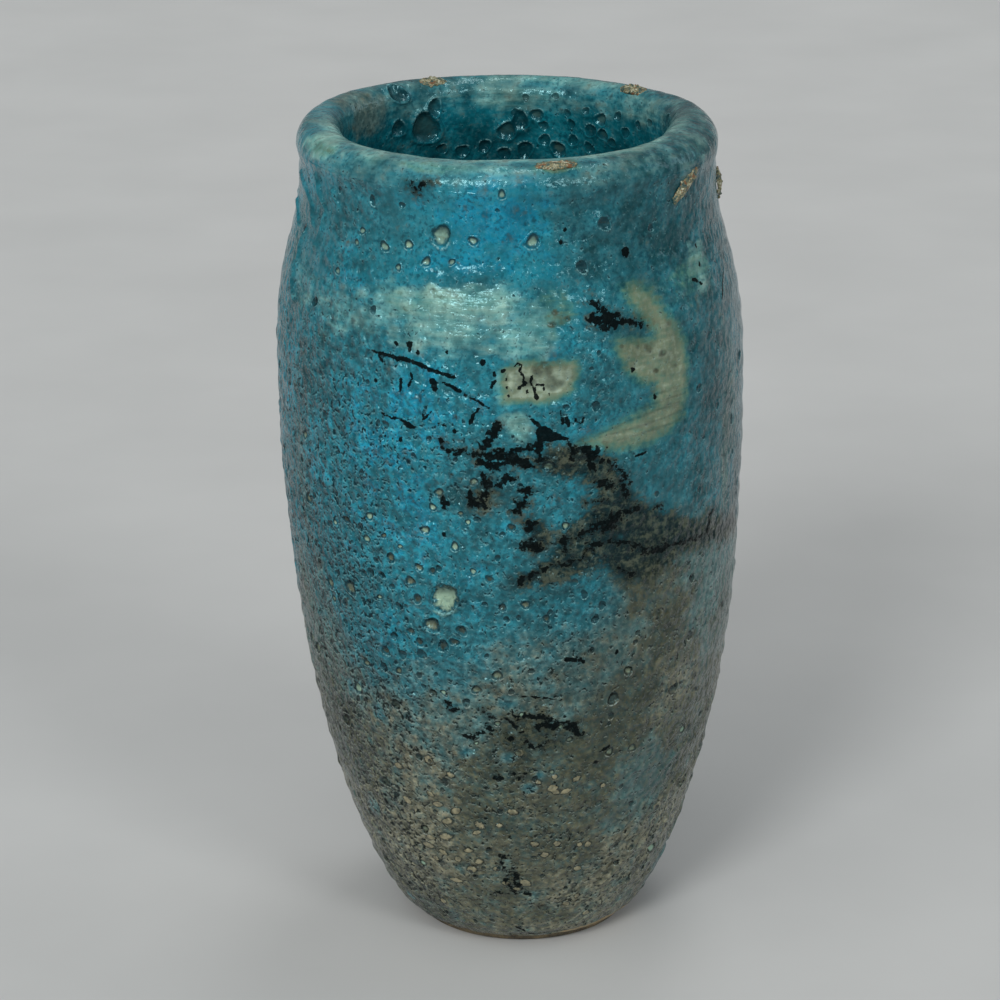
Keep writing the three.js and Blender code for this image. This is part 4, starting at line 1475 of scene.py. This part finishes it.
def add_crust(node, material):
    """A clump of grains grown over the solid crust."""
    made = bmesh.new()
    made.from_mesh(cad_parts[node].data)
    anchors = [v.co.copy() for v in made.verts]
    for _ in range(GRAIN_COUNT):
        size = GRAIN_LEAST + GRAIN_SPREAD * rng.random() ** 2
        anchor = anchors[rng.integers(len(anchors))]
        turn = Matrix.Rotation(rng.uniform(0, TURN), 4, Vector(rng.normal(size=3)).normalized())
        scale = Matrix.Diagonal((*(rng.uniform(*GRAIN_SHAPE, 3) * size * MM), 1))
        matrix = Matrix.Translation(anchor) @ turn @ scale
        bmesh.ops.create_icosphere(made, subdivisions=2, radius=1, matrix=matrix)
    mesh = bpy.data.meshes.new(node + "_grains")
    made.to_mesh(mesh)
    made.free()
    rough = new_object(node + "_grains", mesh)
    remesh = rough.modifiers.new("one_skin", "REMESH")
    remesh.mode = "VOXEL"
    remesh.voxel_size = GRAIN_VOXEL * MM
    evaluated = rough.evaluated_get(bpy.context.evaluated_depsgraph_get())
    piece = new_object(node + "_clump", bpy.data.meshes.new_from_object(evaluated))
    bpy.data.objects.remove(rough)
    piece.data.polygons.foreach_set("use_smooth", np.ones(len(piece.data.polygons), bool))
    piece.data.materials.clear()
    dress(piece, node, material)


for node, rows in COATS:
    coat_piece(node, rows, glaze_material(node))
add_clay(clay_material())
add_pool(glaze_material("glaze_pool"))
GRIT = grit_material()
for node in sorted(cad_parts):
    if "grit" in node:
        add_crust(node, GRIT)


# The stage

FLOOR_SIZE = 12.0
WORLD_COLOUR, WORLD_STRENGTH = "#dfe4e6", 0.26
# Suns: where they shine from, their strength, softness in degrees and tint
SUNS = {
    "soft": ((-0.4, -0.7, 1.2), 0.65, 60, "#fffaf4"),
    "side": ((1.0, 0.35, 0.5), 0.15, 24, "#f4f8ff"),
    "left": ((-0.4, -0.9, 0.6), 1.25, 17, "#fffdfa"),
    "right": ((0.6, -0.8, 0.6), 0.6, 17, "#fffdfa"),
    "top": ((0.15, 0.4, 1.2), 0.35, 17, "#fffdfa"),
}


def add_floor():
    mesh = bpy.data.meshes.new("floor")
    half = FLOOR_SIZE / 2
    square = [(-half, -half, 0), (half, -half, 0), (half, half, 0), (-half, half, 0)]
    mesh.from_pydata(square, [], [range(len(square))])
    mesh.materials.append(floor_material())
    floor = new_object("floor", mesh)


def add_sun(name, start, strength, angle, tint):
    """Even light from one side, as soft as its angle in degrees is wide."""
    lamp = bpy.data.lights.new(name, "SUN")
    lamp.energy = strength
    lamp.angle = math.radians(angle)
    lamp.color = colour(tint)[:3]
    light = new_object(name, lamp)
    light.location = start
    light.rotation_euler = Vector(start).to_track_quat("Z", "Y").to_euler()


def add_world():
    world = bpy.data.worlds.new("studio")
    world.use_nodes = True
    background = world.node_tree.nodes["Background"]
    background.inputs["Color"].default_value = colour(WORLD_COLOUR)
    background.inputs["Strength"].default_value = WORLD_STRENGTH
    bpy.context.scene.world = world


def add_camera():
    camera = new_object("camera", bpy.data.cameras.new("camera"))
    camera.location = CAMERA_AT
    camera.rotation_euler = (math.pi / 2 - CAMERA_PITCH, 0, 0)
    camera.data.sensor_width = SENSOR_WIDTH
    camera.data.lens = SENSOR_WIDTH * FOCAL_LENGTH / PHOTO_SIZE
    bpy.context.scene.camera = camera


add_floor()
for name, settings in SUNS.items():
    add_sun(name, *settings)
add_world()
add_camera()
bpy.context.scene.view_settings.view_transform = "Standard"
